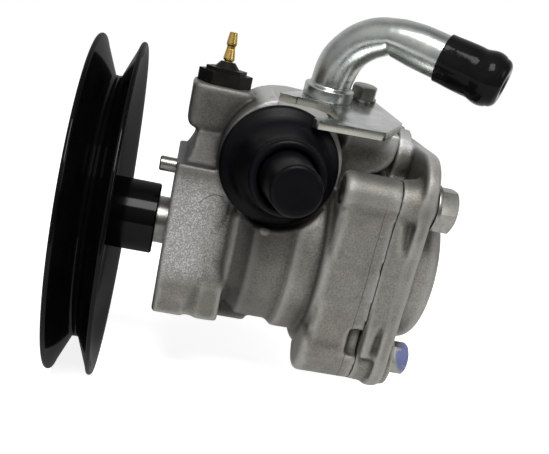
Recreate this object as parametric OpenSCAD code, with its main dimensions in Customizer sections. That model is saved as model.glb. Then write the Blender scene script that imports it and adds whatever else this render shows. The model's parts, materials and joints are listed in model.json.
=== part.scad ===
// Belt driven vane pump for power steering.
// The shaft lies along X: pulley towards -X, rear cover towards +X.
// The origin is where the shaft axis meets the front mounting face.

/* [Pulley] */
// Outside diameter of the belt pulley
pulley_d = 140; // [124:1:160]
// Width over the two rims
pulley_w = 18.8; // [16:0.2:24]
// Thickness of the pressed sheet
sheet_t = 2; // [1.5:0.1:2.4]
// Depth of the belt groove
groove_depth = 15; // [12:0.5:19]
// Width of the groove floor
groove_floor = 2.4; // [1.6:0.2:4]
// Diameter of the steel hub
hub_d = 30; // [27:0.5:34]
// Distance from the pulley's mid plane to the hub's end
hub_l = 24.6; // [22:0.2:30]
// Gap between the hub's end and the mounting face
hub_gap = 4.3; // [3:0.1:8]

/* [Shaft] */
// Diameter under the bearing and the oil seal
shaft_d = 20; // [18:0.5:21]
// Diameter inside the pulley hub
seat_d = 17; // [15:0.5:17.5]
// Diameter of the threaded front end
thread_d = 14; // [12:0.5:14]
// Diameter of the front bush journal
journal_d = 17; // [15:0.5:17.5]
// Diameter inside the rotor
spline_d = 16; // [15:0.5:16.5]
// Diameter of the rear journal
tail_d = 14; // [12:0.5:14.5]
// Radial clearance of a running fit
run_fit = 0.04; // [0.02:0.01:0.08]

/* [Front housing] */
// Length of the front block along the shaft
block_l = 28; // [26:0.5:32]
// Width of the front block
block_w = 52; // [50:0.5:58]
// Top of the front block above the shaft
block_top = 30.6; // [30:0.2:33]
// Bottom of the front block below the shaft
block_bottom = 31.3; // [30:0.1:34]
// Radius of the neck behind the block
neck_r = 34; // [33:0.5:35]
// Radius of the middle band
band_r = 36.5; // [36:0.5:38]
// Radius of the rear barrel
barrel_r = 42; // [41:0.5:44]
// Front end of the middle band
band_x = 51; // [49:0.5:53]
// Front end of the rear barrel
barrel_x = 62; // [60:0.5:64]
// Parting face between housing and cover
parting_x = 85.5; // [84:0.5:88]
// Tapped mounting hole, tapping diameter
mount_hole_d = 6.8; // [6:0.1:8.5]
// Depth of the tapped mounting holes
mount_hole_l = 20; // [14:1:22]
// Distance between mounting holes across the block
mount_dy = 39; // [38:0.5:41]
// Distance between mounting holes along the block
mount_dz = 49; // [47:0.5:51]
// Diameter of the locating pin
pin_d = 6; // [5:0.5:7]
// Length of the locating pin that stands out of the face
pin_out = 6.7; // [5:0.1:9]
// Height of the locating pin above the shaft
pin_z = 26; // [25.4:0.1:26.4]
// Distance of the locating pin from the middle plane
pin_y = 9; // [8:0.5:9.5]

/* [Rear cover] */
// Thickness of the cover at its rim
cover_t = 13; // [12:0.5:16]
// Thickness of the cover's rear plate
cover_plate_t = 5.5; // [4.5:0.5:6.5]
// Radius of the rear dome
dome_r = 32; // [30:0.5:33]
// Height of the rear dome
dome_h = 14.5; // [13:0.5:18]
// Upper bolt, distance from the middle plane
upper_bolt_y = 36; // [35:0.5:38]
// Upper bolt, height above the shaft
upper_bolt_z = 35; // [34:0.5:37]
// Lower bolt, distance from the middle plane
lower_bolt_y = 28; // [27:0.5:30]
// Lower bolt, depth below the shaft
lower_bolt_z = 33; // [32:0.5:35]
// Radius of the upper bolt bosses
upper_boss_r = 8.2; // [7.8:0.2:9]
// Radius of the lower bolt bosses
lower_boss_r = 12; // [11:0.5:13]
// Thread diameter of the upper bolts
upper_bolt_d = 10; // [8:1:10]
// Thread diameter of the lower bolts
lower_bolt_d = 8; // [6:1:8]

/* [Pump cartridge] */
// Radius of the cam ring and its side plates
ring_r = 30.6; // [30:0.1:31]
// Width of the cam ring
ring_w = 18; // [16:0.5:20]
// Thickness of the front side plate
front_plate_t = 6.5; // [5.5:0.5:7]
// Thickness of the rear side plate
rear_plate_t = 7; // [6:0.5:7.5]
// Smallest inside radius of the cam ring
cam_r = 22.7; // [22.5:0.1:23.2]
// Rise of the cam lobes
cam_rise = 2.6; // [1.8:0.1:3]
// Radius of the rotor
rotor_r = 22.2; // [21.6:0.1:22.2]
// Number of vanes
vane_count = 10; // [10:1:10]
// Thickness of a vane
vane_t = 1.9; // [1.5:0.1:2.2]
// Height of a vane
vane_h = 8.4; // [7:0.1:8.6]
// Depth of a vane slot below the vane
vane_room = 1.4; // [1:0.1:1.6]

/* [Flow control and pressure port] */
// Position of the port axis along the shaft
port_x = 39.5; // [39:0.5:40]
// Height of the port axis above the shaft
port_z = 37.3; // [37:0.1:38.5]
// Radius of the port boss
port_boss_r = 23.9; // [23.5:0.1:24.5]
// Diameter of the spool
spool_d = 16; // [14:0.5:16]
// Length of the spool
spool_l = 20; // [18:0.5:20]
// Travel of the spool
spool_travel = 6; // [4:0.5:7]
// Outside diameter of the port fitting
fitting_d = 22; // [20:0.5:23]
// Radius of the plug's flange
plug_r = 23.4; // [22:0.1:24]
// Length of the plug outside the port
plug_l = 42; // [38:0.5:46]

/* [Air valve] */
// Position of the valve along the shaft
valve_x = 13.2; // [13:0.1:14]
// Top face of the valve boss
valve_top = 60.5; // [59:0.1:62]
// Half width of the valve boss
valve_boss_w = 24.4; // [23:0.2:25]
// Spanner size of the valve's hexagon
valve_af = 19; // [17:0.5:20]
// Height of the valve's hexagon
valve_hex_h = 5; // [4.5:0.1:6]
// Diameter of the valve plunger
plunger_d = 8; // [7:0.2:8.6]
// Travel of the valve plunger
plunger_travel = 3; // [2:0.1:3.4]

/* [Suction pipe] */
// Position of the pipe along the shaft
pipe_x = 56.5; // [56:0.1:57.5]
// Position of the pipe across the pump
pipe_y = 5; // [4:0.1:6]
// Height of the flange's upper face at the pipe
pipe_z = 64; // [63.5:0.1:65]
// Lean of the flange towards the near side
flange_tilt = 7.5; // [6:0.1:9]
// Thickness of the flange plate
flange_t = 3.2; // [2.4:0.1:4]
// Outside diameter of the pipe
pipe_d = 14; // [13:0.1:15]
// Wall of the pipe
pipe_wall = 1.4; // [1:0.1:2]
// Straight length above the flange
pipe_rise = 9.3; // [8.6:0.1:11]
// Bend radius of the pipe's centre line
pipe_bend_r = 22.1; // [20:0.1:26]
// Bend angle of the pipe
pipe_bend = 95.2; // [90:0.2:100]
// Heading of the pipe, from the shaft towards the near side
pipe_heading = 27.7; // [20:0.1:35]
// Straight length after the bend
pipe_run = 39; // [34:0.5:42]
// Length of the vinyl cap
cap_l = 30; // [26:0.5:32]
// Wall of the vinyl cap
cap_wall = 1.5; // [1:0.1:2]

/* [Hidden] */
$fn = 64;
eps = 0.01;
thread_gap = 0.05;
slide_gap = 0.1;
web_x = -(hub_gap + hub_l);
rim_r = pulley_d / 2;
floor_r = rim_r - groove_depth;
spigot_r = seat_d / 2 + 3.5;
nut_af = 22;
nut_h = 8;
nut_washer_t = 1.6;
hub_front = web_x - sheet_t - 1.5;
shaft_front = hub_front - nut_washer_t - nut_h - 2;
bearing_x = 2;
bearing_w = 12;
bearing_r = 21;
race_t = 3.4;
ball_r = 2.9;
ball_gap = 0.12;
ball_pitch = (shaft_d / 2 + bearing_r) / 2;
ball_count = 9;
ball_x = bearing_x + bearing_w / 2;
seal_x = bearing_x + bearing_w + 2;
seal_w = 7;
seal_r = shaft_d / 2 + 7;
bush_t = 2;
bush_x = seal_x + seal_w + 2;
ring_x = parting_x - rear_plate_t - ring_w;
front_plate_x = ring_x - front_plate_t;
spring_t = 1.4;
cavity_x = front_plate_x - spring_t;
cavity_r = ring_r + 0.1;
bush_end = cavity_x - 2;
cover_x = parting_x + cover_t;
plate_x = cover_x - cover_plate_t;
tail_x = cover_x - 1;
shaft_end = tail_x - 0.6;
vane_slot_t = vane_t + 2 * run_fit;
vane_tip_r = cam_r - 0.25;
slot_floor_r = vane_tip_r - vane_h - vane_room;
dowel_r = 1.8;
dowel_pos_r = (ring_r + cam_r + cam_rise) / 2 - 0.6;
bore_r = spool_d / 2 + run_fit;
fitting_l = 16;
flange_bolt_at = [16.8, 10.4, 0];
fitting_in_y = -block_w / 2 + fitting_l;
spool_y = fitting_in_y + 0.2;
bore_end_y = spool_y + spool_l + spool_travel + 4;
stem_r = 6.5;
valve_stem_r = 7;
valve_bore_z = valve_top - 13;
plunger_l = 9;
plunger_z = valve_bore_z - plunger_travel - 1;
upper_tip_x = barrel_x + 2;
lower_tip_x = barrel_x + 7;
upper_pad = 1.4;
lower_pad = 2.9;
bolts = [
  [-upper_bolt_y, upper_bolt_z, upper_boss_r, upper_bolt_d, upper_tip_x, upper_pad],
  [upper_bolt_y, upper_bolt_z, upper_boss_r, upper_bolt_d, upper_tip_x, upper_pad],
  [-lower_bolt_y, -lower_bolt_z, lower_boss_r, lower_bolt_d, lower_tip_x, lower_pad],
  [lower_bolt_y, -lower_bolt_z, lower_boss_r, lower_bolt_d, lower_tip_x, lower_pad]
];
bump = [-5, 48.3, 10.5];
plate_corners = [[30, 38, 16], [29, -32, 13.6]];

// Points of an arc about (cx, cy)
function arc(cx, cy, r, a0, a1, n = 8) =
  [for (i = [0:n]) let (a = a0 + (a1 - a0) * i / n) [cx + r * cos(a), cy + r * sin(a)]];

// Moves a shape's Z axis onto the shaft axis, its plane coordinates become Y and Z
module along_x(x = 0) {
  translate([x, 0, 0]) rotate([90, 0, 90]) children();
}

// Moves a shape's Z axis towards the near side, its plane coordinates become X and Z
module towards_near(x, y, z) {
  translate([x, y, z]) rotate([90, 0, 0]) children();
}

// A ring about the shaft from x0 to x1
module ring_x(x0, x1, r_in, r_out) {
  along_x(x0) difference() {
    cylinder(r = r_out, h = x1 - x0);
    translate([0, 0, -1]) cylinder(r = r_in, h = x1 - x0 + 2);
  }
}

// A flat ring with its axis on Z
module ring_z(z0, h, r_in, r_out) {
  translate([0, 0, z0]) difference() {
    cylinder(r = r_out, h = h);
    translate([0, 0, -1]) cylinder(r = r_in, h = h + 2);
  }
}

// A round section ring lying in the XY plane
module o_ring(r, wire) {
  rotate_extrude() translate([r, 0]) circle(r = wire, $fn = 32);
}

// Hexagon bolt, head up from z = 0 and shank down
module hex_bolt(d, af, head_h, shank_l, washer_r) {
  difference() {
    union() {
      cylinder(d = af / cos(30), h = head_h, $fn = 6);
      cylinder(r = washer_r, h = head_h * 0.16);
    }
    translate([0, 0, head_h]) rotate_extrude()
      polygon([[af * 0.47, eps], [af, eps], [af, -af * 0.53 * 0.6]]);
  }
  translate([0, 0, -shank_l]) cylinder(d = d, h = shank_l + eps);
  translate([0, 0, -shank_l - d * 0.12]) cylinder(d1 = d * 0.76, d2 = d, h = d * 0.12 + eps);
}

// Coil spring on Z with closed wire section
module coil(r, wire, h, turns) {
  side = 6;
  steps = 14 * turns;
  pts = [for (i = [0:steps], k = [0:side - 1])
    let (a = 360 * turns * i / steps, b = 360 * k / side, q = r + wire * cos(b))
    [q * cos(a), q * sin(a), wire + (h - 2 * wire) * i / steps + wire * sin(b)]];
  walls = [for (i = [0:steps - 1], k = [0:side - 1])
    let (n = (k + 1) % side)
    [i * side + k, (i + 1) * side + k, (i + 1) * side + n, i * side + n]];
  ends = [[for (k = [0:side - 1]) k], [for (k = [side - 1:-1:0]) steps * side + k]];
  polyhedron(points = pts, faces = concat(walls, ends), convexity = 8);
}

// Plan view of the front block with its own rear corner radius
module block_plan(rear_r) {
  front_r = 1.5;
  hull() for (s = [-1, 1]) {
    translate([front_r, s * (block_w / 2 - front_r)]) circle(r = front_r, $fn = 32);
    translate([block_l - rear_r, s * (block_w / 2 - rear_r)]) circle(r = rear_r, $fn = 32);
  }
}

// Rounded rectangle on the valve axis
module valve_plan(w, d, r) {
  translate([valve_x, 0]) hull() for (a = [-1, 1], b = [-1, 1])
    translate([a * (w / 2 - r), b * (d / 2 - r)]) circle(r = r, $fn = 32);
}

// Outline with a flat top and two rounded lower corners
function tub(mid, half, low, top, r) = concat(
  [[mid - half, top]],
  arc(mid - half + r, low + r, r, 180, 270),
  arc(mid + half - r, low + r, r, 270, 360),
  [[mid + half, top]]
);

// Boss of the air valve, rounded underneath
module valve_boss() {
  low = valve_top - 18;
  half = valve_boss_w / 2;
  intersection() {
    translate([0, 0, low]) linear_extrude(valve_top - low) valve_plan(valve_boss_w, valve_boss_w, 3.4);
    towards_near(0, block_w, 0) linear_extrude(2 * block_w)
      polygon(tub(valve_x, half + 0.2, low, valve_top + 2, 5));
    along_x(-block_l) linear_extrude(3 * block_l) polygon(tub(0, half + 0.5, low, valve_top + 2, 4));
  }
}

// Sloping shoulder between the front block and the valve boss
module shoulder() {
  low = block_top - 2;
  high = valve_top - 15;
  half = block_w / 2 - 3;
  intersection() {
    along_x(1) linear_extrude(block_l)
      polygon([[-half, low], [half, low], [half, low + 2.4], [9, high], [-9, high], [-half, low + 2.4]]);
    towards_near(0, block_w, 0) linear_extrude(2 * block_w)
      polygon([[2.3, low - 1], [block_l - 3, low - 1], [block_l - 3, high + 1],
        [6.4, high + 1], [5.2, low + 8], [3.2, low + 3]]);
  }
}

// Front block with its shoulder and the boss of the air valve
module front_block() {
  ledge_z = 22;
  out = block_w / 2 + 0.6;
  low = -block_bottom - 0.5;
  translate([0, 0, -block_bottom]) linear_extrude(block_bottom + ledge_z) block_plan(13);
  translate([0, 0, ledge_z]) linear_extrude(block_top - ledge_z) block_plan(4);
  for (p = [[0.8, 11.6, 18], [17.6, 7, 13.5]])
    along_x(p[0]) linear_extrude(p[1]) polygon([
      [-out, low], [out, low], [out, low + 7], [out - 1.2, low + p[2]], [1.2 - out, low + p[2]],
      [-out, low + 7]
    ]);
  shoulder();
  valve_boss();
}

// Turned outline of the barrel, drawn as distance along the shaft over radius
module barrel_body() {
  neck_x = 33;
  rear_round = 3;
  profile = concat(
    [[0, 18], [26, 18]],
    arc(26, neck_x - 4, 4, -90, 0),
    [[neck_r - 2, neck_x], [neck_r, neck_x + 2]],
    [[neck_r, band_x - 2]],
    [[band_r - 0.8, band_x], [band_r, band_x + 1]],
    [[band_r, barrel_x - 1.5], [band_r - 1.8, barrel_x - 0.7], [band_r - 1.8, barrel_x]],
    arc(barrel_r - rear_round, barrel_x + rear_round, rear_round, -90, 0),
    [[barrel_r, parting_x - 5], [barrel_r + 0.3, parting_x - 4.9], [barrel_r + 0.3, parting_x + 1]],
    [[0, parting_x + 1]]
  );
  along_x() rotate_extrude() polygon(profile);
  translate([20, -14, -neck_r]) cube([20, 28, 20]);
}

// Bolt boss with a rounded nose and a web to the barrel
module bolt_boss(b, x0, x1, nose) {
  len = norm([b[0], b[1]]);
  turn = atan2(b[1], b[0]);
  along_x() translate([b[0], b[1], x0]) rotate_extrude()
    polygon(concat([[0, 0]], arc(b[2] - nose, nose, nose, -90, 0), [[b[2], x1 - x0], [0, x1 - x0]]));
  along_x(x0 + nose) rotate([0, 0, turn]) translate([0, -b[2] + 1, 0])
    cube([len, 2 * b[2] - 2, x1 - x0 - nose]);
}

// Skin that runs from the upper over the barrel to the lower bosses on both sides
module boss_fill() {
  for (k = [[barrel_x + 3.2, 0], [barrel_x + 1.4, 1.6]], s = [-1, 1])
    along_x(k[0]) linear_extrude(parting_x + 2.5 + k[1] - k[0]) polygon(fill_plan(s, k[1]));
}

// Outline of that fill on side s, drawn in by d
function fill_plan(s, d) = [
  [s * 20, upper_bolt_z - 2], [s * (upper_bolt_y + upper_boss_r - 1.2 - d), upper_bolt_z - 2],
  [s * (barrel_r - 0.5 - d), 5], [s * (barrel_r - 0.5 - d), -9],
  [s * (lower_bolt_y + lower_boss_r - 1.2 - d), 2 - lower_bolt_z], [s * 20, 2 - lower_bolt_z]
];

// Frame of the suction flange: origin on its upper face at the pipe axis
module on_flange() {
  translate([pipe_x, pipe_y, pipe_z]) rotate([flange_tilt, 0, 0]) children();
}

// Casting under the suction flange
module suction_block() {
  u_x = 73.8;
  u_r = 10.6;
  difference() {
    towards_near(0, 24, 0) linear_extrude(46) {
      translate([u_x, 51]) circle(r = u_r);
      translate([u_x - u_r, 51]) square([2 * u_r, 20]);
      translate([port_x, 30]) square([u_x - port_x, 41]);
      translate([u_x - u_r, 24]) square([parting_x - u_x, 20]);
    }
    on_flange() translate([-60, -80, -flange_t]) cube([140, 160, 60]);
    translate([port_x - 1, -23, 20]) cube([u_x - u_r - port_x + 1, 14, 60]);
  }
}

module front_housing() {
  color([0.66, 0.65, 0.62]) difference() {
    union() {
      front_block();
      difference() {
        barrel_body();
        towards_near(port_x, 0.4 - block_w / 2, port_z) cylinder(r = port_boss_r + 0.7, h = block_w);
      }
      towards_near(port_x, block_w / 2, port_z) cylinder(r = port_boss_r, h = block_w);
      towards_near(port_x + 0.3, block_w / 2 - 0.3, port_z + 1.7)
        cylinder(r = port_boss_r - 0.1, h = block_w - 0.6);
      suction_block();
      for (b = bolts) bolt_boss(b, b[1] > 0 ? barrel_x + 1 : barrel_x - 0.4, parting_x + 2, 2.6);
      boss_fill();
    }
    on_flange() translate([-22.4, -60, -flange_t]) cube([120, 120, 60]);
    translate([parting_x, -100, -100]) cube([20, 200, 200]);
    along_x(-1) cylinder(r = bearing_r, h = bearing_x + bearing_w + 1);
    along_x(0.6) cylinder(r = bearing_r + 1.1, h = 1.4);
    along_x(1) cylinder(r = seal_r, h = seal_x + seal_w - 1);
    along_x(1) cylinder(r = journal_d / 2 + bush_t, h = cavity_x);
    along_x(cavity_x) cylinder(r = cavity_r, h = parting_x - cavity_x + 1);
    ring_x(parting_x - 2.2, parting_x + 1, cavity_r + 2, cavity_r + 5.2);
    for (s = [-1, 1], t = [-1, 1])
      along_x(-1) translate([s * mount_dy / 2, t * mount_dz / 2])
        cylinder(d = mount_hole_d, h = mount_hole_l + 1);
    along_x(-1) translate([-pin_y, pin_z]) cylinder(d = pin_d, h = 9);
    for (b = bolts)
      along_x(b[4] - 2) translate([b[0], b[1]]) cylinder(d = b[3] + 2 * thread_gap, h = parting_x);
    for (a = [90, 270])
      along_x(cavity_x - 4) rotate([0, 0, a]) translate([dowel_pos_r, 0]) cylinder(r = dowel_r, h = 6);
    translate([valve_x, 0, valve_bore_z]) cylinder(r = valve_stem_r + thread_gap, h = 30);
    translate([valve_x, 0, plunger_z - plunger_l]) cylinder(d = plunger_d + 2 * run_fit, h = 40);
    towards_near(port_x, bore_end_y, port_z) cylinder(r = bore_r, h = bore_end_y + block_w);
    towards_near(port_x, fitting_in_y, port_z) cylinder(d = fitting_d + 2 * thread_gap, h = block_w);
    on_flange() translate([0, 0, -36]) cylinder(r = pipe_d / 2 - pipe_wall, h = 40);
    on_flange() ring_z(-flange_t - 1.6, 4, pipe_d / 2 - pipe_wall - 1, pipe_d / 2 + 2.6);
    on_flange() translate([flange_bolt_at[0], flange_bolt_at[1], -flange_t - 12])
      cylinder(d = 6 + 2 * thread_gap, h = 30);
    translate([parting_x - 5.4, -lower_bolt_y - 24, -lower_bolt_z + 2]) cube([7, 15, 12]);
  }
}

module locating_pin() {
  color([0.78, 0.78, 0.8]) along_x() translate([-pin_y, pin_z]) rotate_extrude()
    polygon([[0, -pin_out], [pin_d / 2 - 0.5, -pin_out], [pin_d / 2, -pin_out + 0.5],
      [pin_d / 2, 8], [0, 8]]);
}

module bearing_snap_ring() {
  color([0.3, 0.3, 0.32]) difference() {
    ring_x(0.7, bearing_x - 0.1, bearing_r - 2.6, bearing_r + 0.95);
    translate([-5, -5, -bearing_r - 4]) cube([20, 10, 12]);
  }
}

module bearing_outer_race() {
  color([0.75, 0.76, 0.78]) difference() {
    ring_x(bearing_x, bearing_x + bearing_w, bearing_r - race_t, bearing_r);
    along_x(ball_x) o_ring(ball_pitch, ball_r + ball_gap);
  }
}

module bearing_inner_race() {
  color([0.75, 0.76, 0.78]) difference() {
    ring_x(bearing_x, bearing_x + bearing_w, shaft_d / 2, shaft_d / 2 + race_t);
    along_x(ball_x) o_ring(ball_pitch, ball_r + ball_gap);
  }
}

module bearing_balls() {
  color([0.82, 0.83, 0.85]) for (i = [0:ball_count - 1])
    along_x(ball_x) rotate([0, 0, 360 * i / ball_count]) translate([ball_pitch, 0, 0]) sphere(r = ball_r);
}

module bearing_cage() {
  color([0.72, 0.6, 0.3])
    ring_x(ball_x - ball_r - 1.3, ball_x - ball_r - 0.1, ball_pitch - 1.5, ball_pitch + 1.5);
}

module oil_seal() {
  lip = shaft_d / 2 + run_fit;
  color([0.16, 0.16, 0.17]) along_x(seal_x) rotate_extrude() polygon([
    [lip, seal_w * 0.5], [lip + 1.6, 0.6], [lip + 2.2, 0], [seal_r, 0], [seal_r, seal_w],
    [seal_r - 1.2, seal_w], [seal_r - 1.2, 1.6], [lip + 2.6, 1.6], [lip + 1.4, seal_w * 0.8],
    [lip + 0.5, seal_w * 0.8]
  ]);
}

module front_bush() {
  color([0.7, 0.55, 0.3])
    ring_x(bush_x, bush_end, journal_d / 2 + run_fit, journal_d / 2 + bush_t);
}

module plate_spring() {
  color([0.4, 0.41, 0.44]) along_x(cavity_x) rotate_extrude() polygon([
    [ring_r - 12, 0], [ring_r - 7, spring_t - 0.8], [ring_r - 7, spring_t], [ring_r - 12, 0.8]
  ]);
}

// Side plate with a shaft hole, dowel holes and two pairs of kidney ports
module side_plate(x, t, hole_r) {
  port_r = cam_r - 1;
  difference() {
    ring_x(x, x + t, hole_r, ring_r);
    for (a = [90, 270])
      along_x(x - 1) rotate([0, 0, a]) translate([dowel_pos_r, 0]) cylinder(r = dowel_r, h = t + 2);
    for (a = [0:90:270])
      along_x(x - 1) rotate([0, 0, a + 45]) linear_extrude(t + 2) intersection() {
        difference() {
          circle(r = port_r + 2.2);
          circle(r = port_r - 2.2);
        }
        polygon([[0, 0], [40, -14], [40, 14]]);
      }
  }
}

module front_side_plate() {
  color([0.62, 0.6, 0.56]) side_plate(front_plate_x, front_plate_t, journal_d / 2 + 1);
}

module rear_side_plate() {
  color([0.62, 0.6, 0.56]) side_plate(ring_x + ring_w, rear_plate_t, spline_d / 2 + 3);
}

module cam_ring() {
  lobes = [
    for (i = [0:119])
      let (a = 3 * i, r = cam_r + cam_rise * (0.5 - 0.5 * cos(2 * a)))
        [r * cos(a + 90), r * sin(a + 90)]
  ];
  color([0.5, 0.5, 0.52]) along_x(ring_x) difference() {
    cylinder(r = ring_r, h = ring_w);
    translate([0, 0, -1]) linear_extrude(ring_w + 2) polygon(lobes);
    for (a = [90, 270]) rotate([0, 0, a]) translate([dowel_pos_r, 0, -1])
      cylinder(r = dowel_r, h = ring_w + 2);
  }
}

module dowel_pins() {
  color([0.8, 0.8, 0.82]) for (a = [90, 270])
    along_x(cavity_x - 4) rotate([0, 0, a]) translate([dowel_pos_r, 0])
      cylinder(r = dowel_r, h = parting_x - cavity_x + 4);
}

module cover_o_ring() {
  color([0.09, 0.09, 0.1]) along_x(parting_x - 1.1) o_ring(cavity_r + 3.6, 1.1);
}

// Outline of the cover's rear plate, a square with large round corners
module cover_plan(grow) {
  hull() {
    circle(r = barrel_r + 0.4 + grow);
    for (c = plate_corners, s = [-1, 1]) translate([s * c[0], c[1]]) circle(r = c[2] + grow, $fn = 48);
  }
}

// Boss of the cover, wider by grow towards the plate, with a web to the middle
module cover_boss(b, x0, x1, grow = 0) {
  along_x(x0) translate([b[0], b[1]]) cylinder(r1 = b[2], r2 = b[2] + grow, h = x1 - x0);
  along_x(x0) rotate([0, 0, atan2(b[1], b[0])]) translate([0, -b[2] + 1, 0])
    cube([norm([b[0], b[1]]), 2 * b[2] - 2, x1 - x0 - 0.4]);
}

// Fill of the cover between its bosses, with a pocket in front of the plate beside each boss
module cover_fill() {
  x0 = plate_x - 3.6;
  x1 = plate_x - 0.5;
  difference() {
    for (s = [-1, 1])
      along_x(parting_x) linear_extrude(plate_x + 0.6 - parting_x) polygon(fill_plan(s, 0.4));
    for (y = [-34, 64]) towards_near(0, y, 0) linear_extrude(30) {
      polygon([[x0 - 2, 40], [plate_x + 2, 40], [plate_x + 2, 12], [x1, 12]]);
      polygon([[x1, -9], [plate_x + 2, -9], [plate_x + 2, -44], [x0 - 1.6, -44]]);
    }
  }
}

module rear_cover() {
  edge = 1.2;
  dome_round = 5;
  color([0.62, 0.61, 0.58]) difference() {
    union() {
      along_x(parting_x) cylinder(r = barrel_r, h = plate_x - parting_x + 1);
      for (b = bolts) cover_boss(b, parting_x, plate_x + 1, b[1] > 0 ? 2.2 : 0.6);
      cover_fill();
      for (b = bolts) along_x(plate_x + 1) translate([b[0], b[1]])
        cylinder(r1 = b[2] + (b[1] > 0 ? 1.4 : 0.5), r2 = b[2] + 0.4, h = cover_x + b[5] - plate_x - 1);
      for (s = [-1, 1]) cover_boss([s * bump[0], bump[1], bump[2]], parting_x + 1, plate_x - 1);
      along_x(plate_x) linear_extrude(cover_plate_t - edge) cover_plan(0.6);
      along_x(cover_x - edge) linear_extrude(edge) cover_plan(0);
      along_x(cover_x) rotate_extrude() polygon(concat(
        [[0, 0], [dome_r + 4, 0], [dome_r + 1.4, 1.2], [dome_r, 3.6]],
        arc(dome_r - dome_round, dome_h - dome_round, dome_round, 0, 90),
        [[0, dome_h]]
      ));
      along_x(cover_x - 1) translate([-9, 20]) cube([18, 20, 6]);
    }
    for (b = bolts) along_x(parting_x - 1) translate([b[0], b[1]])
      cylinder(d = b[3] + 0.8, h = cover_t + 30);
    along_x(parting_x - 1) cylinder(r = tail_d / 2 + bush_t, h = cover_t);
    for (b = bolts) along_x(cover_x + b[5] - 0.3) translate([b[0], b[1]]) cylinder(r = b[3] * 0.96, h = 20);
  }
}

module rear_bush() {
  color([0.7, 0.55, 0.3])
    ring_x(parting_x + 0.5, tail_x, tail_d / 2 + run_fit, tail_d / 2 + bush_t);
}

module cover_bolt(b, af) {
  seat = cover_x + b[5] - 0.3;
  along_x(seat) translate([b[0], b[1]])
    hex_bolt(b[3], af, b[3] * 0.86, seat - b[4], b[3] * 0.94);
}

module upper_cover_bolts() {
  color([0.8, 0.81, 0.8]) for (i = [0, 1]) cover_bolt(bolts[i], upper_bolt_d * 1.6);
}

module lower_cover_bolts() {
  color([0.8, 0.81, 0.8]) for (i = [2, 3]) cover_bolt(bolts[i], lower_bolt_d * 1.5);
}

module pressure_fitting() {
  groove_z = 4;
  color([0.7, 0.71, 0.7]) towards_near(port_x, fitting_in_y, port_z) difference() {
    cylinder(d = fitting_d, h = fitting_l);
    translate([0, 0, 6]) cylinder(r = stem_r, h = fitting_l);
    translate([0, 0, -1]) cylinder(r = 3, h = fitting_l);
    ring_z(groove_z - 1.1, 2.2, fitting_d / 2 - 1.95, fitting_d);
  }
}

module fitting_o_ring() {
  color([0.09, 0.09, 0.1]) towards_near(port_x, fitting_in_y - 4, port_z) o_ring(fitting_d / 2 - 0.95, 0.95);
}

module port_plug() {
  flange_t_near = 5;
  skirt_l = plug_l * 0.52;
  tip_r = plug_r * 0.405;
  mid_r = plug_r * 0.61;
  color([0.07, 0.07, 0.08]) towards_near(port_x, -block_w / 2, port_z) rotate_extrude() polygon(concat(
    [[0, -9], [stem_r - 1, -9], [stem_r, -7.5], [stem_r, 0], [plug_r - 0.8, 0]],
    arc(plug_r - 2, 2, 2, -53, 90),
    [[mid_r + 5.5, flange_t_near], [mid_r + 3, flange_t_near + 2]],
    [[mid_r + 0.6, skirt_l - 4]],
    arc(mid_r - 1.6, skirt_l - 1.6, 1.6, 0, 160),
    [[mid_r - 3.4, skirt_l - 4.5], [tip_r + 0.9, skirt_l - 4.5], [tip_r + 0.5, skirt_l + 2]],
    arc(tip_r - 1.8, plug_l - 1.8, 1.8, 0, 90),
    [[0, plug_l]]
  ));
}

module flow_spool() {
  r = spool_d / 2;
  color([0.72, 0.73, 0.75]) towards_near(port_x, spool_y + spool_l, port_z) difference() {
    rotate_extrude() polygon([
      [0, 0], [r - 0.6, 0], [r, 0.6], [r, 6], [r - 1.6, 6.6], [r - 1.6, 10.4], [r, 11],
      [r, spool_l - 4], [r - 0.5, spool_l - 3.8], [r - 0.5, spool_l - 3], [r, spool_l - 2.8],
      [r, spool_l - 0.6], [r - 0.6, spool_l], [0, spool_l]
    ]);
    translate([0, 0, -1]) cylinder(r = r - 2.4, h = 5);
  }
}

module spool_spring() {
  h = bore_end_y - spool_y - spool_l + 4 - 0.1;
  color([0.6, 0.62, 0.66]) towards_near(port_x, bore_end_y - 0.05, port_z) coil(spool_d / 2 - 3.4, 0.7, h, 6);
}

// Plan of the flange plate: arm round the pipe, bolt ear and a tongue over the near side
module flange_plan() {
  bite_r = 5;
  bite_u = 1.2;
  bite_low = -36.4;
  bite_top = -9.6;
  difference() {
    union() {
      circle(r = 13);
      translate([-21, bite_top]) square([21, 18.4]);
      translate([flange_bolt_at[0], flange_bolt_at[1]]) circle(r = 6.8);
      polygon([[-8.6, -39.4], [18.6, -38.4], [28.7, -20.4], [23.4, 9], [12, 15],
        [-4, 10], [-4, -12], [-8.6, -37]]);
    }
    translate([-40, bite_low]) square([40 + bite_u - bite_r, bite_top - bite_low]);
    translate([-40, bite_low + bite_r]) square([40 + bite_u, bite_top - bite_low - 2 * bite_r]);
    for (v = [bite_low + bite_r, bite_top - bite_r]) translate([bite_u - bite_r, v]) circle(r = bite_r);
  }
}

module suction_flange() {
  color([0.76, 0.78, 0.8]) on_flange() difference() {
    translate([0, 0, -flange_t]) linear_extrude(flange_t) flange_plan();
    translate([0, 0, -flange_t - 1]) cylinder(d = pipe_d, h = flange_t + 2);
    translate([flange_bolt_at[0], flange_bolt_at[1], -flange_t - 1]) cylinder(d = 6.6, h = flange_t + 2);
  }
}

// Frame at the end of the pipe's bend, Z runs along the pipe
module pipe_end() {
  on_flange() rotate([0, 0, -pipe_heading])
    translate([pipe_bend_r - pipe_bend_r * cos(pipe_bend), 0, pipe_rise + pipe_bend_r * sin(pipe_bend)])
      rotate([0, pipe_bend, 0]) children();
}

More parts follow.
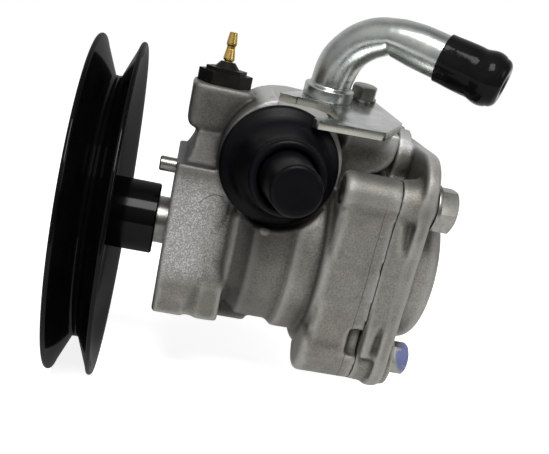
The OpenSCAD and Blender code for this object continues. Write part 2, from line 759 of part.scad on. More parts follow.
// Solid rod along the pipe's centre line; the bend is let into both straights
module pipe_rod(r, below, over) {
  lap = 0.4;
  on_flange() rotate([0, 0, -pipe_heading]) {
    translate([0, 0, -below]) cylinder(r = r, h = below + pipe_rise);
    translate([pipe_bend_r, 0, pipe_rise]) rotate([90, 0, 0]) rotate([0, 0, 180 - pipe_bend - lap])
      rotate_extrude(angle = pipe_bend + 2 * lap) translate([pipe_bend_r, 0]) circle(r = r - 0.02);
  }
  pipe_end() cylinder(r = r, h = pipe_run + over);
}

module suction_pipe() {
  r = pipe_d / 2;
  collar_h = 5.6;
  color([0.78, 0.8, 0.82]) difference() {
    union() {
      pipe_rod(r, flange_t, 0);
      on_flange() rotate_extrude() polygon(concat(
        [[0, 0], [r + 2.9, 0], [r + 3.2, 0.4], [r + 3.2, collar_h - 1.4]],
        arc(r + 2, collar_h - 1.2, 1.2, 0, 80),
        arc(r + 3, collar_h + 2.8, 3, 250, 180),
        [[0, collar_h + 2.8]]
      ));
      pipe_end() translate([0, 0, pipe_run - 8]) rotate_extrude() translate([r - 0.5, 0])
        circle(r = 2, $fn = 32);
    }
    pipe_rod(r - pipe_wall, flange_t + 1, 1);
  }
}

module suction_o_ring() {
  color([0.09, 0.09, 0.1]) on_flange() translate([0, 0, -flange_t - 0.8]) o_ring(pipe_d / 2 + 1.7, 0.8);
}

module flange_bolt() {
  color([0.8, 0.81, 0.8]) on_flange() translate(flange_bolt_at) rotate([0, 0, 12])
    hex_bolt(6, 10, 6, flange_t + 10, 6);
}

module pipe_cap() {
  r_in = pipe_d / 2 + 0.05;
  r_out = pipe_d / 2 + cap_wall;
  bead = pipe_run - 8;
  mouth = pipe_run + 5 - cap_l;
  end = pipe_run + 5;
  bulge = 1.7;
  color([0.05, 0.05, 0.06]) pipe_end() difference() {
    rotate_extrude() polygon(concat(
      [[0, mouth], [r_out - 0.5, mouth], [r_out, mouth + 0.5], [r_out + 0.2, bead - 7]],
      arc(r_out + bulge - 5.5, bead, 5.5, -40, 30, 10),
      arc(r_out + bulge - 5.6, end - 5.6, 5.6, 10, 90, 10),
      [[2.5, end], [0, end - 1.4]]
    ));
    translate([0, 0, mouth - 1]) cylinder(r = r_in, h = pipe_run - mouth + 1.05);
    translate([0, 0, bead]) rotate_extrude() translate([pipe_d / 2 - 0.5, 0]) circle(r = 2.05, $fn = 32);
  }
}

module air_valve_body() {
  stem_l = valve_top - valve_bore_z - 1;
  color([0.12, 0.12, 0.12]) translate([valve_x, 0, valve_top]) difference() {
    union() {
      rotate([0, 0, 0]) cylinder(d = valve_af / cos(30), h = valve_hex_h, $fn = 6);
      translate([0, 0, -stem_l]) cylinder(r = valve_stem_r, h = stem_l + 1);
      rotate([0, 0, 8]) cylinder(d = 14.6 / cos(30), h = valve_hex_h + 1.5, $fn = 6);
      translate([0, 0, valve_hex_h]) cylinder(r1 = 6.4, r2 = 3, h = 4);
    }
    translate([0, 0, valve_hex_h + 0.5]) cylinder(r = 1.7, h = 10);
    translate([0, 0, -stem_l - 1]) cylinder(d = plunger_d - 2, h = stem_l - 1);
    translate([0, 0, -stem_l - 1]) cylinder(r = 1, h = 40);
  }
}

module air_valve_nipple() {
  z0 = valve_hex_h + 0.5;
  color([0.71, 0.55, 0.2]) translate([valve_x, 0, valve_top]) difference() {
    rotate_extrude() polygon([
      [0, z0], [1.7, z0], [1.7, 9.4], [2.3, 9.8], [2.35, 10.4], [1.8, 13.8], [1.7, 14.2], [1.7, 15.2],
      [2.1, 15.7], [2.1, 16.4], [1.6, 20.3], [1.4, 20.5], [0, 20.5]
    ]);
    translate([0, 0, -1]) cylinder(r = 0.9, h = 40);
  }
}

module air_valve_o_ring() {
  color([0.09, 0.09, 0.1]) translate([valve_x, 0, valve_bore_z + 0.9 / 2]) o_ring(valve_stem_r - 1, 0.45);
}

module air_valve_plunger() {
  color([0.7, 0.71, 0.73]) translate([valve_x, 0, plunger_z - plunger_l]) rotate_extrude() polygon([
    [0, 0.3], [plunger_d / 2 - 0.6, 0.3], [plunger_d / 2, 0.9], [plunger_d / 2, 3],
    [plunger_d / 2 - 0.8, 3.3],
    [plunger_d / 2 - 0.8, 5.2], [plunger_d / 2, 5.5], [plunger_d / 2, plunger_l], [1.2, plunger_l],
    [1.2, plunger_l + 1], [0, plunger_l + 1]
  ]);
}

module air_valve_spring() {
  h = valve_top - 2.1 - plunger_z;
  color([0.6, 0.62, 0.66]) translate([valve_x, 0, plunger_z + 0.05]) coil(plunger_d / 2 - 1.6, 0.5, h, 6);
}

module drive_shaft() {
  key_x = -(hub_gap + 14);
  color([0.74, 0.75, 0.77]) difference() {
    along_x() rotate_extrude() polygon([
      [0, shaft_front], [thread_d / 2 - 1, shaft_front], [thread_d / 2, shaft_front + 1],
      [thread_d / 2, hub_front], [seat_d / 2, hub_front], [seat_d / 2, -hub_gap],
      [shaft_d / 2, -hub_gap], [shaft_d / 2, seal_x + seal_w + 1], [journal_d / 2, seal_x + seal_w + 1.5],
      [journal_d / 2, ring_x - 3], [spline_d / 2, ring_x - 2], [spline_d / 2, ring_x + ring_w + 3],
      [tail_d / 2, ring_x + ring_w + 4], [tail_d / 2, shaft_end - 1], [tail_d / 2 - 1, shaft_end],
      [0, shaft_end]
    ]);
    translate([key_x, 2, seat_d / 2]) rotate([90, 0, 0]) cylinder(r = 5, h = 4);
    ring_x(ring_x + ring_w - slide_gap, ring_x + ring_w + 1.2, spline_d / 2 - 0.8, spline_d);
  }
}

module woodruff_key() {
  key_x = -(hub_gap + 14);
  color([0.5, 0.5, 0.52]) intersection() {
    translate([key_x, 2, seat_d / 2]) rotate([90, 0, 0]) cylinder(r = 5, h = 4);
    translate([key_x - 10, -5, 0]) cube([20, 10, seat_d / 2 + 2]);
  }
}

module pulley_hub() {
  key_x = -(hub_gap + 14);
  color([0.07, 0.07, 0.08]) difference() {
    along_x() rotate_extrude() polygon([
      [seat_d / 2, hub_front], [spigot_r, hub_front], [spigot_r, web_x + sheet_t],
      [hub_d / 2, web_x + sheet_t], [hub_d / 2, -hub_gap - 0.6], [hub_d / 2 - 0.6, -hub_gap],
      [seat_d / 2, -hub_gap]
    ]);
    translate([hub_front - 1, -2, 0]) cube([key_x + 5.1 - hub_front + 1, 4, seat_d / 2 + 2.05]);
  }
}

// One pressed disc, drawn on the +X side of the pulley's mid plane
module pressed_disc() {
  f = groove_floor / 2;
  top = pulley_w / 2;
  lip = sheet_t / 2;
  rotate_extrude() polygon(concat(
    [[spigot_r, 0], [floor_r, 0], [floor_r, f]],
    [[rim_r - lip - 1, top - sheet_t - 0.4]],
    arc(rim_r - lip, top - lip, lip, -110, 60, 10),
    [[rim_r - 4, top - 0.3], [rim_r - 6, top - 1.4]],
    [[floor_r - 1.6, f + sheet_t + 0.5], [floor_r - 3.4, sheet_t + 0.2], [floor_r - 5, sheet_t]],
    [[spigot_r, sheet_t]]
  ));
}

module pulley_back_disc() {
  color([0.08, 0.08, 0.09]) along_x(web_x) pressed_disc();
}

module pulley_front_disc() {
  color([0.08, 0.08, 0.09]) translate([web_x, 0, 0]) mirror([1, 0, 0]) along_x() pressed_disc();
}

module pulley_nut() {
  color([0.7, 0.71, 0.72]) along_x(hub_front - nut_washer_t - nut_h) difference() {
    cylinder(d = nut_af / cos(30), h = nut_h, $fn = 6);
    translate([0, 0, -1]) cylinder(d = thread_d + 2 * thread_gap, h = nut_h + 2);
  }
}

module nut_washer() {
  color([0.6, 0.61, 0.62]) ring_x(hub_front - nut_washer_t, hub_front, thread_d / 2 + 0.2, nut_af * 0.52);
}

module rotor() {
  color([0.66, 0.67, 0.7]) along_x(ring_x + slide_gap) difference() {
    cylinder(r = rotor_r, h = ring_w - 2 * slide_gap);
    translate([0, 0, -1]) cylinder(d = spline_d, h = ring_w + 2);
    for (i = [0:vane_count - 1]) rotate([0, 0, 360 * i / vane_count])
      translate([slot_floor_r, -vane_slot_t / 2, -1]) cube([rotor_r, vane_slot_t, ring_w + 2]);
  }
}

module rotor_snap_ring() {
  color([0.3, 0.3, 0.32]) difference() {
    ring_x(ring_x + ring_w - slide_gap, ring_x + ring_w + 1.1, spline_d / 2 - 0.75, spline_d / 2 + 1.8);
    translate([ring_x, -2, -spline_d]) cube([ring_w + 10, 4, spline_d]);
  }
}

// Vane number i with its rounded tip on the cam side
module vane(i) {
  color([0.58, 0.59, 0.62]) along_x(ring_x + slide_gap)
    rotate([0, 0, 360 * (i - 1) / vane_count]) intersection() {
    translate([vane_tip_r - vane_h, -vane_t / 2, 0]) cube([vane_h, vane_t, ring_w - 2 * slide_gap]);
    translate([0, 0, -1]) cylinder(r = vane_tip_r, h = ring_w + 2);
  }
}

module vane_01() { vane(1); }
module vane_02() { vane(2); }
module vane_03() { vane(3); }
module vane_04() { vane(4); }
module vane_05() { vane(5); }
module vane_06() { vane(6); }
module vane_07() { vane(7); }
module vane_08() { vane(8); }
module vane_09() { vane(9); }
module vane_10() { vane(10); }

front_housing();
locating_pin();
bearing_snap_ring();
bearing_outer_race();
oil_seal();
front_bush();
plate_spring();
front_side_plate();
cam_ring();
rear_side_plate();
dowel_pins();
cover_o_ring();
rear_cover();
rear_bush();
upper_cover_bolts();
lower_cover_bolts();
pressure_fitting();
fitting_o_ring();
port_plug();
spool_spring();
flow_spool();
suction_flange();
suction_pipe();
suction_o_ring();
flange_bolt();
pipe_cap();
air_valve_body();
air_valve_nipple();
air_valve_o_ring();
air_valve_spring();
air_valve_plunger();
drive_shaft();
pulley_hub();
pulley_front_disc();
pulley_back_disc();
woodruff_key();
pulley_nut();
nut_washer();
bearing_inner_race();
bearing_balls();
bearing_cage();
rotor();
rotor_snap_ring();
vane_01();
vane_02();
vane_03();
vane_04();
vane_05();
vane_06();
vane_07();
vane_08();
vane_09();
vane_10();
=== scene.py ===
# %% [markdown]
# A power steering pump stands on a pale floor: a black belt pulley on the left, a grey cast housing, a bent suction
# pipe under a black cap, a rubber plug in the pressure port and a small brass nipple on top.
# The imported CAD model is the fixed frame. We load it first and note its box, because nothing may grow out of it.

# %% Load the frame
import json
import math
import bpy
import bmesh
import numpy as np
from mathutils import Matrix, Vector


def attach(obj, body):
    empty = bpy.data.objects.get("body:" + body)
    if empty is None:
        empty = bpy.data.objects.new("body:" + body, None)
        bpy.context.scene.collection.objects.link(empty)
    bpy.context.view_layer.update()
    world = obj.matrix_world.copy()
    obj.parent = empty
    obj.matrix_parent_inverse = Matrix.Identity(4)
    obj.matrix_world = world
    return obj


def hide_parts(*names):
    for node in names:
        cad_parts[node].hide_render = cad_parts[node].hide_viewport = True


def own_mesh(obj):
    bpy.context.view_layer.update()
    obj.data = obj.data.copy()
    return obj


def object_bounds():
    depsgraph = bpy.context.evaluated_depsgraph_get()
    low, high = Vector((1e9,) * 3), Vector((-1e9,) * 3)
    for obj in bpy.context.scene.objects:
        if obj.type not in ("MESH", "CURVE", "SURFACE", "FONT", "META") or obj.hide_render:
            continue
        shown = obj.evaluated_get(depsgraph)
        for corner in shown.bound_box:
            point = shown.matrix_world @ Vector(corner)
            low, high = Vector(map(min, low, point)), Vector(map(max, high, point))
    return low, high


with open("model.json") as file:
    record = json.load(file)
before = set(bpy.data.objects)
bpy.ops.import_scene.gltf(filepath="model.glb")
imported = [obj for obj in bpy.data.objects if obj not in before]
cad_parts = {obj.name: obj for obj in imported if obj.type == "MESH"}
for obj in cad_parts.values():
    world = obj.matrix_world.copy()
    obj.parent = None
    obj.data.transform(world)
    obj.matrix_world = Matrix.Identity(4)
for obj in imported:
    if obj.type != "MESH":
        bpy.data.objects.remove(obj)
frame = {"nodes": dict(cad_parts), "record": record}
nodes = frame["nodes"]
cad_box = [[float(v) for v in corner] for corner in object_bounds()]
MM = 0.001
print("nodes:", len(nodes), "box:", cad_box)

# %% [markdown]
# The camera stands where the photographer stood: in front of the plugged port, a little above, with the pump
# leaning a few degrees because its pulley is larger than its cover. The picture was cut out of a taller one, so
# the lens looks a little below the middle of the frame, and a vertical shift gives that back.


# %% Camera
def linked(name, data):
    """Makes an object from a mesh, a lamp or a camera and links it into the scene."""
    obj = bpy.data.objects.new(name, data)
    bpy.context.scene.collection.objects.link(obj)
    return obj


def stand(obj, side, up, back, place_at):
    """Turns an object's own x, y and z axes along three directions and puts it at a place."""
    pose = np.eye(4)
    pose[:3] = np.stack([side, up, back, place_at], 1)
    obj.matrix_world = Matrix(pose.tolist())


view_w, view_h, focal_px, axis_row = 549, 454, 800.0, 303.4
azimuth, elevation, roll = (math.radians(a) for a in (-9.36, 19.9, 13.21))
distance = 360.6
target = np.array([53.9, 0.0, -28.7]) * MM
to_eye = np.array([math.sin(azimuth) * math.cos(elevation), -math.cos(azimuth) * math.cos(elevation),
                   math.sin(elevation)])
level = np.array([math.cos(azimuth), math.sin(azimuth), 0.0])
upright = np.cross(to_eye, level)
eye = target + to_eye * distance * MM
lens = bpy.data.cameras.new("camera")
lens.sensor_fit = "HORIZONTAL"
lens.sensor_width = 36.0
lens.lens = focal_px * lens.sensor_width / view_w
lens.shift_y = (axis_row - view_h / 2) / view_w
lens.clip_start = 0.01
camera = linked("camera", lens)
stand(camera, math.cos(roll) * level + math.sin(roll) * upright, math.cos(roll) * upright - math.sin(roll) * level,
      to_eye, eye)
bpy.context.scene.camera = camera
bpy.context.scene.view_settings.view_transform = "Standard"
print("camera at", eye.round(4))

# %% [markdown]
# Helpers for materials. Each finish is one Principled shader. What varies over the surface comes from small node
# groups that are built once and used with different values.


# %% Node helpers
def new_material(name):
    """Makes an empty node material and returns it with its tree and its Principled shader."""
    mat = bpy.data.materials.new(name)
    mat.use_nodes = True
    return mat, mat.node_tree, mat.node_tree.nodes["Principled BSDF"]


def add(tree, kind, **settings):
    """Adds a node; a setting whose name is an input socket sets that socket, any other sets the node."""
    node = tree.nodes.new(kind)
    for key, value in settings.items():
        if key in node.inputs:
            node.inputs[key].default_value = value
        else:
            setattr(node, key, value)
    return node


def join(tree, start, end):
    """Links an output socket to an input socket."""
    tree.links.new(start, end)


def feed(tree, value, socket):
    """Gives an input socket a number, a colour of three numbers or a link from an output socket."""
    if isinstance(value, (int, float)):
        socket.default_value = value
    elif isinstance(value, tuple):
        socket.default_value = (*value, 1.0)
    else:
        join(tree, value, socket)


def new_group(name, inputs, outputs):
    """Makes a shader node group with named float or vector sockets and returns tree, input and output node."""
    tree = bpy.data.node_groups.new(name, "ShaderNodeTree")
    kinds = {"f": "NodeSocketFloat", "v": "NodeSocketVector"}
    for label, kind, value in inputs:
        socket = tree.interface.new_socket(name=label, in_out="INPUT", socket_type=kinds[kind])
        socket.default_value = value
    for label, kind in outputs:
        tree.interface.new_socket(name=label, in_out="OUTPUT", socket_type=kinds[kind])
    return tree, tree.nodes.new("NodeGroupInput"), tree.nodes.new("NodeGroupOutput")


def place(tree, group, **values):
    """Places a node group in a tree with its own input values (spaces in names are written as _)."""
    node = tree.nodes.new("ShaderNodeGroup")
    node.node_tree = group
    for key, value in values.items():
        node.inputs[key.replace("_", " ")].default_value = value
    return node


print("node helpers ready")

# %% [markdown]
# A material is mostly arithmetic on values and colours. Wiring each node by hand is long, so a few functions each add
# one node and hand back its output. They read like formulas: a mask is faded in, multiplied, and mixed into a colour.


# %% Value and colour helpers
def ramp(tree, source, stops):
    """Maps a value through a grey ramp given as (position, grey) stops."""
    node = tree.nodes.new("ShaderNodeValToRGB")
    band = node.color_ramp
    while len(band.elements) < len(stops):
        band.elements.new(1.0)
    for element, (pos, tone) in zip(band.elements, stops):
        element.position = pos
        element.color = (tone, tone, tone, 1.0)
    join(tree, source, node.inputs["Fac"])
    return node.outputs["Color"]


def scaled(tree, source, low, high, to_low, to_high, **settings):
    """Maps a value from one range to another, held at both ends."""
    node = add(tree, "ShaderNodeMapRange", **settings)
    for label, value in zip(("From Min", "From Max", "To Min", "To Max"), (low, high, to_low, to_high)):
        node.inputs[label].default_value = value
    join(tree, source, node.inputs["Value"])
    return node.outputs["Result"]


def fade(tree, coordinate, start_mm, end_mm, low=0.0, high=1.0):
    """Goes from low to high while a coordinate goes from start to end in mm."""
    return scaled(tree, coordinate, start_mm * MM, end_mm * MM, low, high)


def math_of(tree, operation, first, second):
    """One math node; either operand is a socket or a number."""
    node = add(tree, "ShaderNodeMath", operation=operation)
    feed(tree, first, node.inputs[0])
    feed(tree, second, node.inputs[1])
    return node.outputs[0]


def product(tree, first, *others):
    """Product of several values."""
    for other in others:
        first = math_of(tree, "MULTIPLY", first, other)
    return first


def less(tree, mask):
    """One minus a mask."""
    return math_of(tree, "SUBTRACT", 1.0, mask)


def toned(tree, colour, factor):
    """Multiplies a colour by a grey factor."""
    node = add(tree, "ShaderNodeMix", data_type="RGBA", blend_type="MULTIPLY")
    node.inputs[0].default_value = 1.0
    join(tree, colour, node.inputs[6])
    join(tree, factor, node.inputs[7])
    return node.outputs[2]


def blended(tree, colour, other, factor):
    """Mixes a colour towards another one by a factor; each colour is a socket or three numbers."""
    node = add(tree, "ShaderNodeMix", data_type="RGBA")
    feed(tree, colour, node.inputs[6])
    feed(tree, other, node.inputs[7])
    join(tree, factor, node.inputs[0])
    return node.outputs[2]


def bumped(tree, shader, height, bump_mm):
    """Lets a height tilt the shader's normal, as a relief of some millimetres would."""
    bump = add(tree, "ShaderNodeBump", Strength=1.0, Distance=bump_mm * MM)
    join(tree, height, bump.inputs["Height"])
    join(tree, bump.outputs["Normal"], shader.inputs["Normal"])


print("value and colour helpers ready")

# %% [markdown]
# Grain: a fine noise for the skin of a casting or a moulding, a broad noise for cloudy tone, and sparse specks.
# All sizes are in millimetres and are read from Object coordinates, so they stay put on the piece.

# %% Grain group
PER_METRE = 1000.0
grain, grain_in, grain_out = new_group(
    "surface_grain",
    [("Fine mm", "f", 0.5), ("Broad mm", "f", 6.0), ("Speck mm", "f", 1.2)],
    [("Fine", "f"), ("Broad", "f"), ("Speck", "f")],
)
coords = add(grain, "ShaderNodeTexCoord")
for label, detail in (("Fine", 3.0), ("Broad", 4.0), ("Speck", 1.0)):
    noise = add(grain, "ShaderNodeTexNoise", Detail=detail, Roughness=0.6)
    join(grain, coords.outputs["Object"], noise.inputs["Vector"])
    join(grain, math_of(grain, "DIVIDE", PER_METRE, grain_in.outputs[label + " mm"]), noise.inputs["Scale"])
    join(grain, noise.outputs["Fac"], grain_out.inputs[label])
print("group:", grain.name)

# %% [markdown]
# Turned lines: the tool leaves fine rings on shafts, hubs and fittings. A noise that changes only along the turning
# axis gives them. The axis is an input, so one group serves parts that lie along X, Y or Z.

# %% Turned lines group
rings, rings_in, rings_out = new_group(
    "turned_lines",
    [("Axis", "v", (1.0, 0.0, 0.0)), ("Pitch mm", "f", 0.25)],
    [("Lines", "f")],
)
coords = add(rings, "ShaderNodeTexCoord")
along = add(rings, "ShaderNodeVectorMath", operation="DOT_PRODUCT")
join(rings, coords.outputs["Object"], along.inputs[0])
join(rings, rings_in.outputs["Axis"], along.inputs[1])
lines = add(rings, "ShaderNodeTexNoise", noise_dimensions="1D", Detail=2.0)
join(rings, along.outputs["Value"], lines.inputs["W"])
join(rings, math_of(rings, "DIVIDE", PER_METRE, rings_in.outputs["Pitch mm"]), lines.inputs["Scale"])
join(rings, lines.outputs["Fac"], rings_out.inputs["Lines"])
print("group:", rings.name)

# %% [markdown]
# Finishes. Every one starts from the same recipe: two colours mixed by the broad noise, darkened a little by the
# specks, a roughness that wanders between two values, and a fine bump. On a turned piece the tool's lines take the
# place of the fine noise.


# %% Finish recipe
def finish_of(name, low, high, rough, metal, bump_mm, fine=0.5, broad=6.0, speck=1.2, speck_dark=0.0, axis=None,
              specular=0.5):
    """Builds one finish: colour low to high by broad noise, roughness range by fine noise, bump height in mm."""
    mat, tree, shader = new_material(name)
    skin = place(tree, grain, Fine_mm=fine, Broad_mm=broad, Speck_mm=speck)
    height = skin.outputs["Fine"]
    if axis is not None:
        height = place(tree, rings, Axis=axis, Pitch_mm=0.25).outputs["Lines"]
    cloud = ramp(tree, skin.outputs["Broad"], [(0.3, 0.0), (0.7, 1.0)])
    pits = ramp(tree, skin.outputs["Speck"], [(0.28, 1.0 - speck_dark), (0.42, 1.0)])
    join(tree, toned(tree, blended(tree, low, high, cloud), pits), shader.inputs["Base Color"])
    join(tree, scaled(tree, height, 0.3, 0.7, *rough), shader.inputs["Roughness"])
    bumped(tree, shader, height, bump_mm)
    shader.inputs["Metallic"].default_value = metal
    shader.inputs["Specular IOR Level"].default_value = specular
    return mat


print("finish recipe ready")

# %% [markdown]
# Sand cast aluminium is the largest surface here. Its skin keeps the print of the sand, its ridges are rubbed bright
# and shade is painted into its hollows. The castings further down carry two point attributes: ridge, positive on
# ridges and negative in hollows, and hollow, which does the same over a wider stretch. One function collects all that
# the finish reads, and each layer after it is a function of its own, from the skin outwards.


# %% Cast skin
def cast_sockets(tree):
    """What the cast finish reads: grain, place on the piece, upward slope of the face, ridges and hollows."""
    skin = place(tree, grain, Fine_mm=0.6, Broad_mm=11.0, Speck_mm=0.62)
    coords = add(tree, "ShaderNodeTexCoord")
    spot, face = add(tree, "ShaderNodeSeparateXYZ"), add(tree, "ShaderNodeSeparateXYZ")
    join(tree, coords.outputs["Object"], spot.inputs[0])
    join(tree, coords.outputs["Normal"], face.inputs[0])
    at = {label.lower(): skin.outputs[label] for label in ("Fine", "Broad", "Speck")}
    at.update({k.lower(): spot.outputs[k] for k in "XYZ"})
    at.update({label: add(tree, "ShaderNodeAttribute", attribute_name=label).outputs["Fac"]
               for label in ("ridge", "hollow")})
    at.update(spot=coords.outputs["Object"], upward=face.outputs["Z"])
    return at


def cast_skin(tree, at, blast_and_sheen):
    """Cloudy grey, paler with blast finish and painted sheen, with sand grain, painted shade in hollows and rubbed
    ridges.
    """
    cloud = ramp(tree, at["broad"], [(0.32, 0.0), (0.68, 1.0)])
    colour = blended(tree, (0.120, 0.115, 0.0975), (0.169, 0.163, 0.140), cloud)
    # paler where blasted, partly a painted sheen that stands for the floor's reflection
    colour = blended(tree, colour, (0.36, 0.36, 0.355), blast_and_sheen)
    colour = toned(tree, colour, ramp(tree, at["speck"], [(0.3, 0.78), (0.5, 1.0), (0.7, 1.24)]))
    # painted shade: darker in small hollows (negative ridge) and in wide hollows
    colour = toned(tree, colour, scaled(tree, at["ridge"], -1.0, -0.05, 0.5, 1.0))
    colour = toned(tree, colour, scaled(tree, at["hollow"], -1.0, 0.1, 0.64, 1.0))
    return blended(tree, colour, (0.42, 0.42, 0.4), scaled(tree, at["ridge"], 0.2, 1.0, 0.0, 0.4))


print("cast skin ready")

# %% [markdown]
# The near side of the front block is paler than the barrel: partly its blast finish, partly a painted sheen where the
# flat face mirrors the floor. Blasting leaves tiny facets, and those that face a lamp light up: these glints are
# painted highlights in the colour. A noise would give worms instead of grains, so each cell of a Voronoi pattern gets
# its own brightness and only the brightest cells are painted bright. Around it shade is painted into the casting:
# darker in the neck behind the block and on faces that look up. The valve boss is darker too, and the top of the port
# boss, which was milled, is paler.


# %% Paler side, painted glints and painted shade
def blast_and_sheen_side(tree, at):
    """Mask of blast finish and painted sheen: strong towards the front, fading to the block's rear, its foot and the
    valve boss.
    """
    # painted sheen: part of this paler tone stands for the floor mirrored in the flat near face
    return product(tree, fade(tree, at["x"], 25.0, 10.0, 0.06, 0.52), fade(tree, at["z"], 28.0, 18.0, 0.25, 1.0),
                   fade(tree, at["z"], -19.0, -10.0, 0.06, 1.0))


def painted_glints(tree, at, colour, blast_and_sheen, near):
    """Paints highlights into the colour: bright facets, each a cell of 0.42 mm, on the paler near side."""
    facets = add(tree, "ShaderNodeTexVoronoi", Scale=PER_METRE / 0.42)
    join(tree, at["spot"], facets.inputs["Vector"])
    painted_glint = ramp(tree, facets.outputs["Color"], [(0.45, 0.0), (0.85, 1.0)])
    # painted highlights: the brightest cells are painted near white
    return blended(tree, colour, (0.95, 0.95, 0.97), product(tree, painted_glint, blast_and_sheen, near, 0.74))


def painted_shade_and_milled(tree, at, colour):
    """Paints shade into the neck behind the block and onto upward faces, darkens the valve boss, and pales the milled
    port boss.
    """
    x, z = at["x"], at["z"]
    # painted shade in the neck behind the block; the valve boss is made darker
    neck = product(tree, fade(tree, x, 27.2, 28.4), fade(tree, x, 32.0, 50.0, 0.66, 0.0), fade(tree, z, 34.0, 26.0))
    valve = product(tree, fade(tree, x, 29.0, 26.0, 0.0, 0.5), fade(tree, z, 24.0, 30.0))
    colour = toned(tree, colour, less(tree, math_of(tree, "ADD", neck, valve)))
    # painted shade on faces that look up, below the top of the port boss
    upward_shade = product(tree, scaled(tree, at["upward"], 0.5, 0.95, 0.0, 0.45), fade(tree, z, 52.0, 48.0))
    colour = toned(tree, colour, less(tree, upward_shade))
    milled = product(tree, fade(tree, z, 50.0, 55.0, 0.0, 0.7), fade(tree, x, 26.0, 30.0))
    return blended(tree, colour, (0.5, 0.5, 0.5), milled)


print("zones ready")

# %% [markdown]
# Marks tell that this is one pump and no drawing: a thin curved line on the block, a pale round spot below the plug, a
# dark one on the port boss, and the dark wavy seam where cover and housing meet. They could be painted on an image.
# Here each one is a distance: from a curve, from a point or from a plane that the broad noise bends.


# %% Casting marks
def line_at(tree, position, place_mm, half_mm, depth):
    """Dark line where a coordinate passes a place: 1 away from it, depth on it."""
    gap = math_of(tree, "ABSOLUTE", math_of(tree, "SUBTRACT", position, place_mm * MM), 0.0)
    return fade(tree, gap, half_mm, 2.4 * half_mm, depth, 1.0)


def spot_at(tree, position, centre_mm, full_mm, none_mm, strength):
    """Round mark: full strength up to a radius from a point, falling to nothing at a larger one."""
    gap = add(tree, "ShaderNodeVectorMath", operation="DISTANCE")
    gap.inputs[1].default_value = tuple(v * MM for v in centre_mm)
    join(tree, position, gap.inputs[0])
    return fade(tree, gap.outputs["Value"], full_mm, none_mm, strength, 0.0)


def marked(tree, at, colour, near):
    """Adds the curved line, a parabola z = -106.9 x^2 + 3.76 x in metres moved down, and the two spots."""
    x = at["x"]
    bow = math_of(tree, "ADD", product(tree, x, x, -106.9), product(tree, x, 3.76))
    line = line_at(tree, math_of(tree, "SUBTRACT", at["z"], bow), -11.87, 0.13, 0.3)
    span = product(tree, fade(tree, x, 11.0, 11.6), fade(tree, x, 20.4, 19.6), near)
    colour = toned(tree, colour, less(tree, product(tree, span, less(tree, line))))
    pale = spot_at(tree, at["spot"], (38.3, -31.7, 12.2), 1.5, 2.25, 0.85)
    dark = spot_at(tree, at["spot"], (31.6, -15.9, 61.3), 0.7, 1.05, 0.85)
    return blended(tree, blended(tree, colour, (0.42, 0.41, 0.36), pale), (0.02, 0.02, 0.02), dark)


def seamed(tree, at, colour):
    """Adds the dark seam of cover and housing, and a faint line beside it on the lower half."""
    wave = math_of(tree, "ADD", at["x"], product(tree, at["broad"], 0.9 * MM))
    colour = toned(tree, colour, line_at(tree, wave, 85.95, 0.13, 0.14))
    low_half = fade(tree, at["z"], 36.0, 30.0, 0.0, 0.38)
    faint = product(tree, low_half, less(tree, line_at(tree, wave, 81.1, 0.14, 0.0)))
    return toned(tree, colour, less(tree, faint))


print("marks ready")

# %% [markdown]
# Now the layers go on top of each other. The cover's dome gets painted light: its colour ends a little paler than the
# rest. The metal is only half metallic to the shader, because the oxide on a raw casting scatters light like a stone.


# %% Cast finish
def cast_finish(name):
    """Grey cast finish: skin, painted glints, painted shade, marks and seam, with the sand's relief as bump."""
    mat, tree, shader = new_material(name)
    at = cast_sockets(tree)
    blast_and_sheen, near = blast_and_sheen_side(tree, at), fade(tree, at["y"], -20.0, -24.0)
    colour = cast_skin(tree, at, blast_and_sheen)
    colour = painted_glints(tree, at, colour, blast_and_sheen, near)
    colour = painted_shade_and_milled(tree, at, colour)
    colour = marked(tree, at, colour, near)
    colour = seamed(tree, at, colour)
    # painted light: the cover's dome is painted paler
    colour = toned(tree, colour, fade(tree, at["x"], 98.8, 100.0, 1.0, 1.25))
    join(tree, colour, shader.inputs["Base Color"])
    join(tree, scaled(tree, at["fine"], 0.3, 0.7, 0.44, 0.6), shader.inputs["Roughness"])
    bumped(tree, shader, at["fine"], 0.16)
    shader.inputs["Metallic"].default_value = 0.5
    return mat


finish = {"cast_aluminium": cast_finish("cast_aluminium")}
print("cast finish nodes:", len(finish["cast_aluminium"].node_tree.nodes))

# %% [markdown]
# The other finishes come from the common recipe, one for each material slot of the record. Two more are for pieces
# whose zinc looks different from the pipe's: the bolts are duller and the flange plate is brighter.

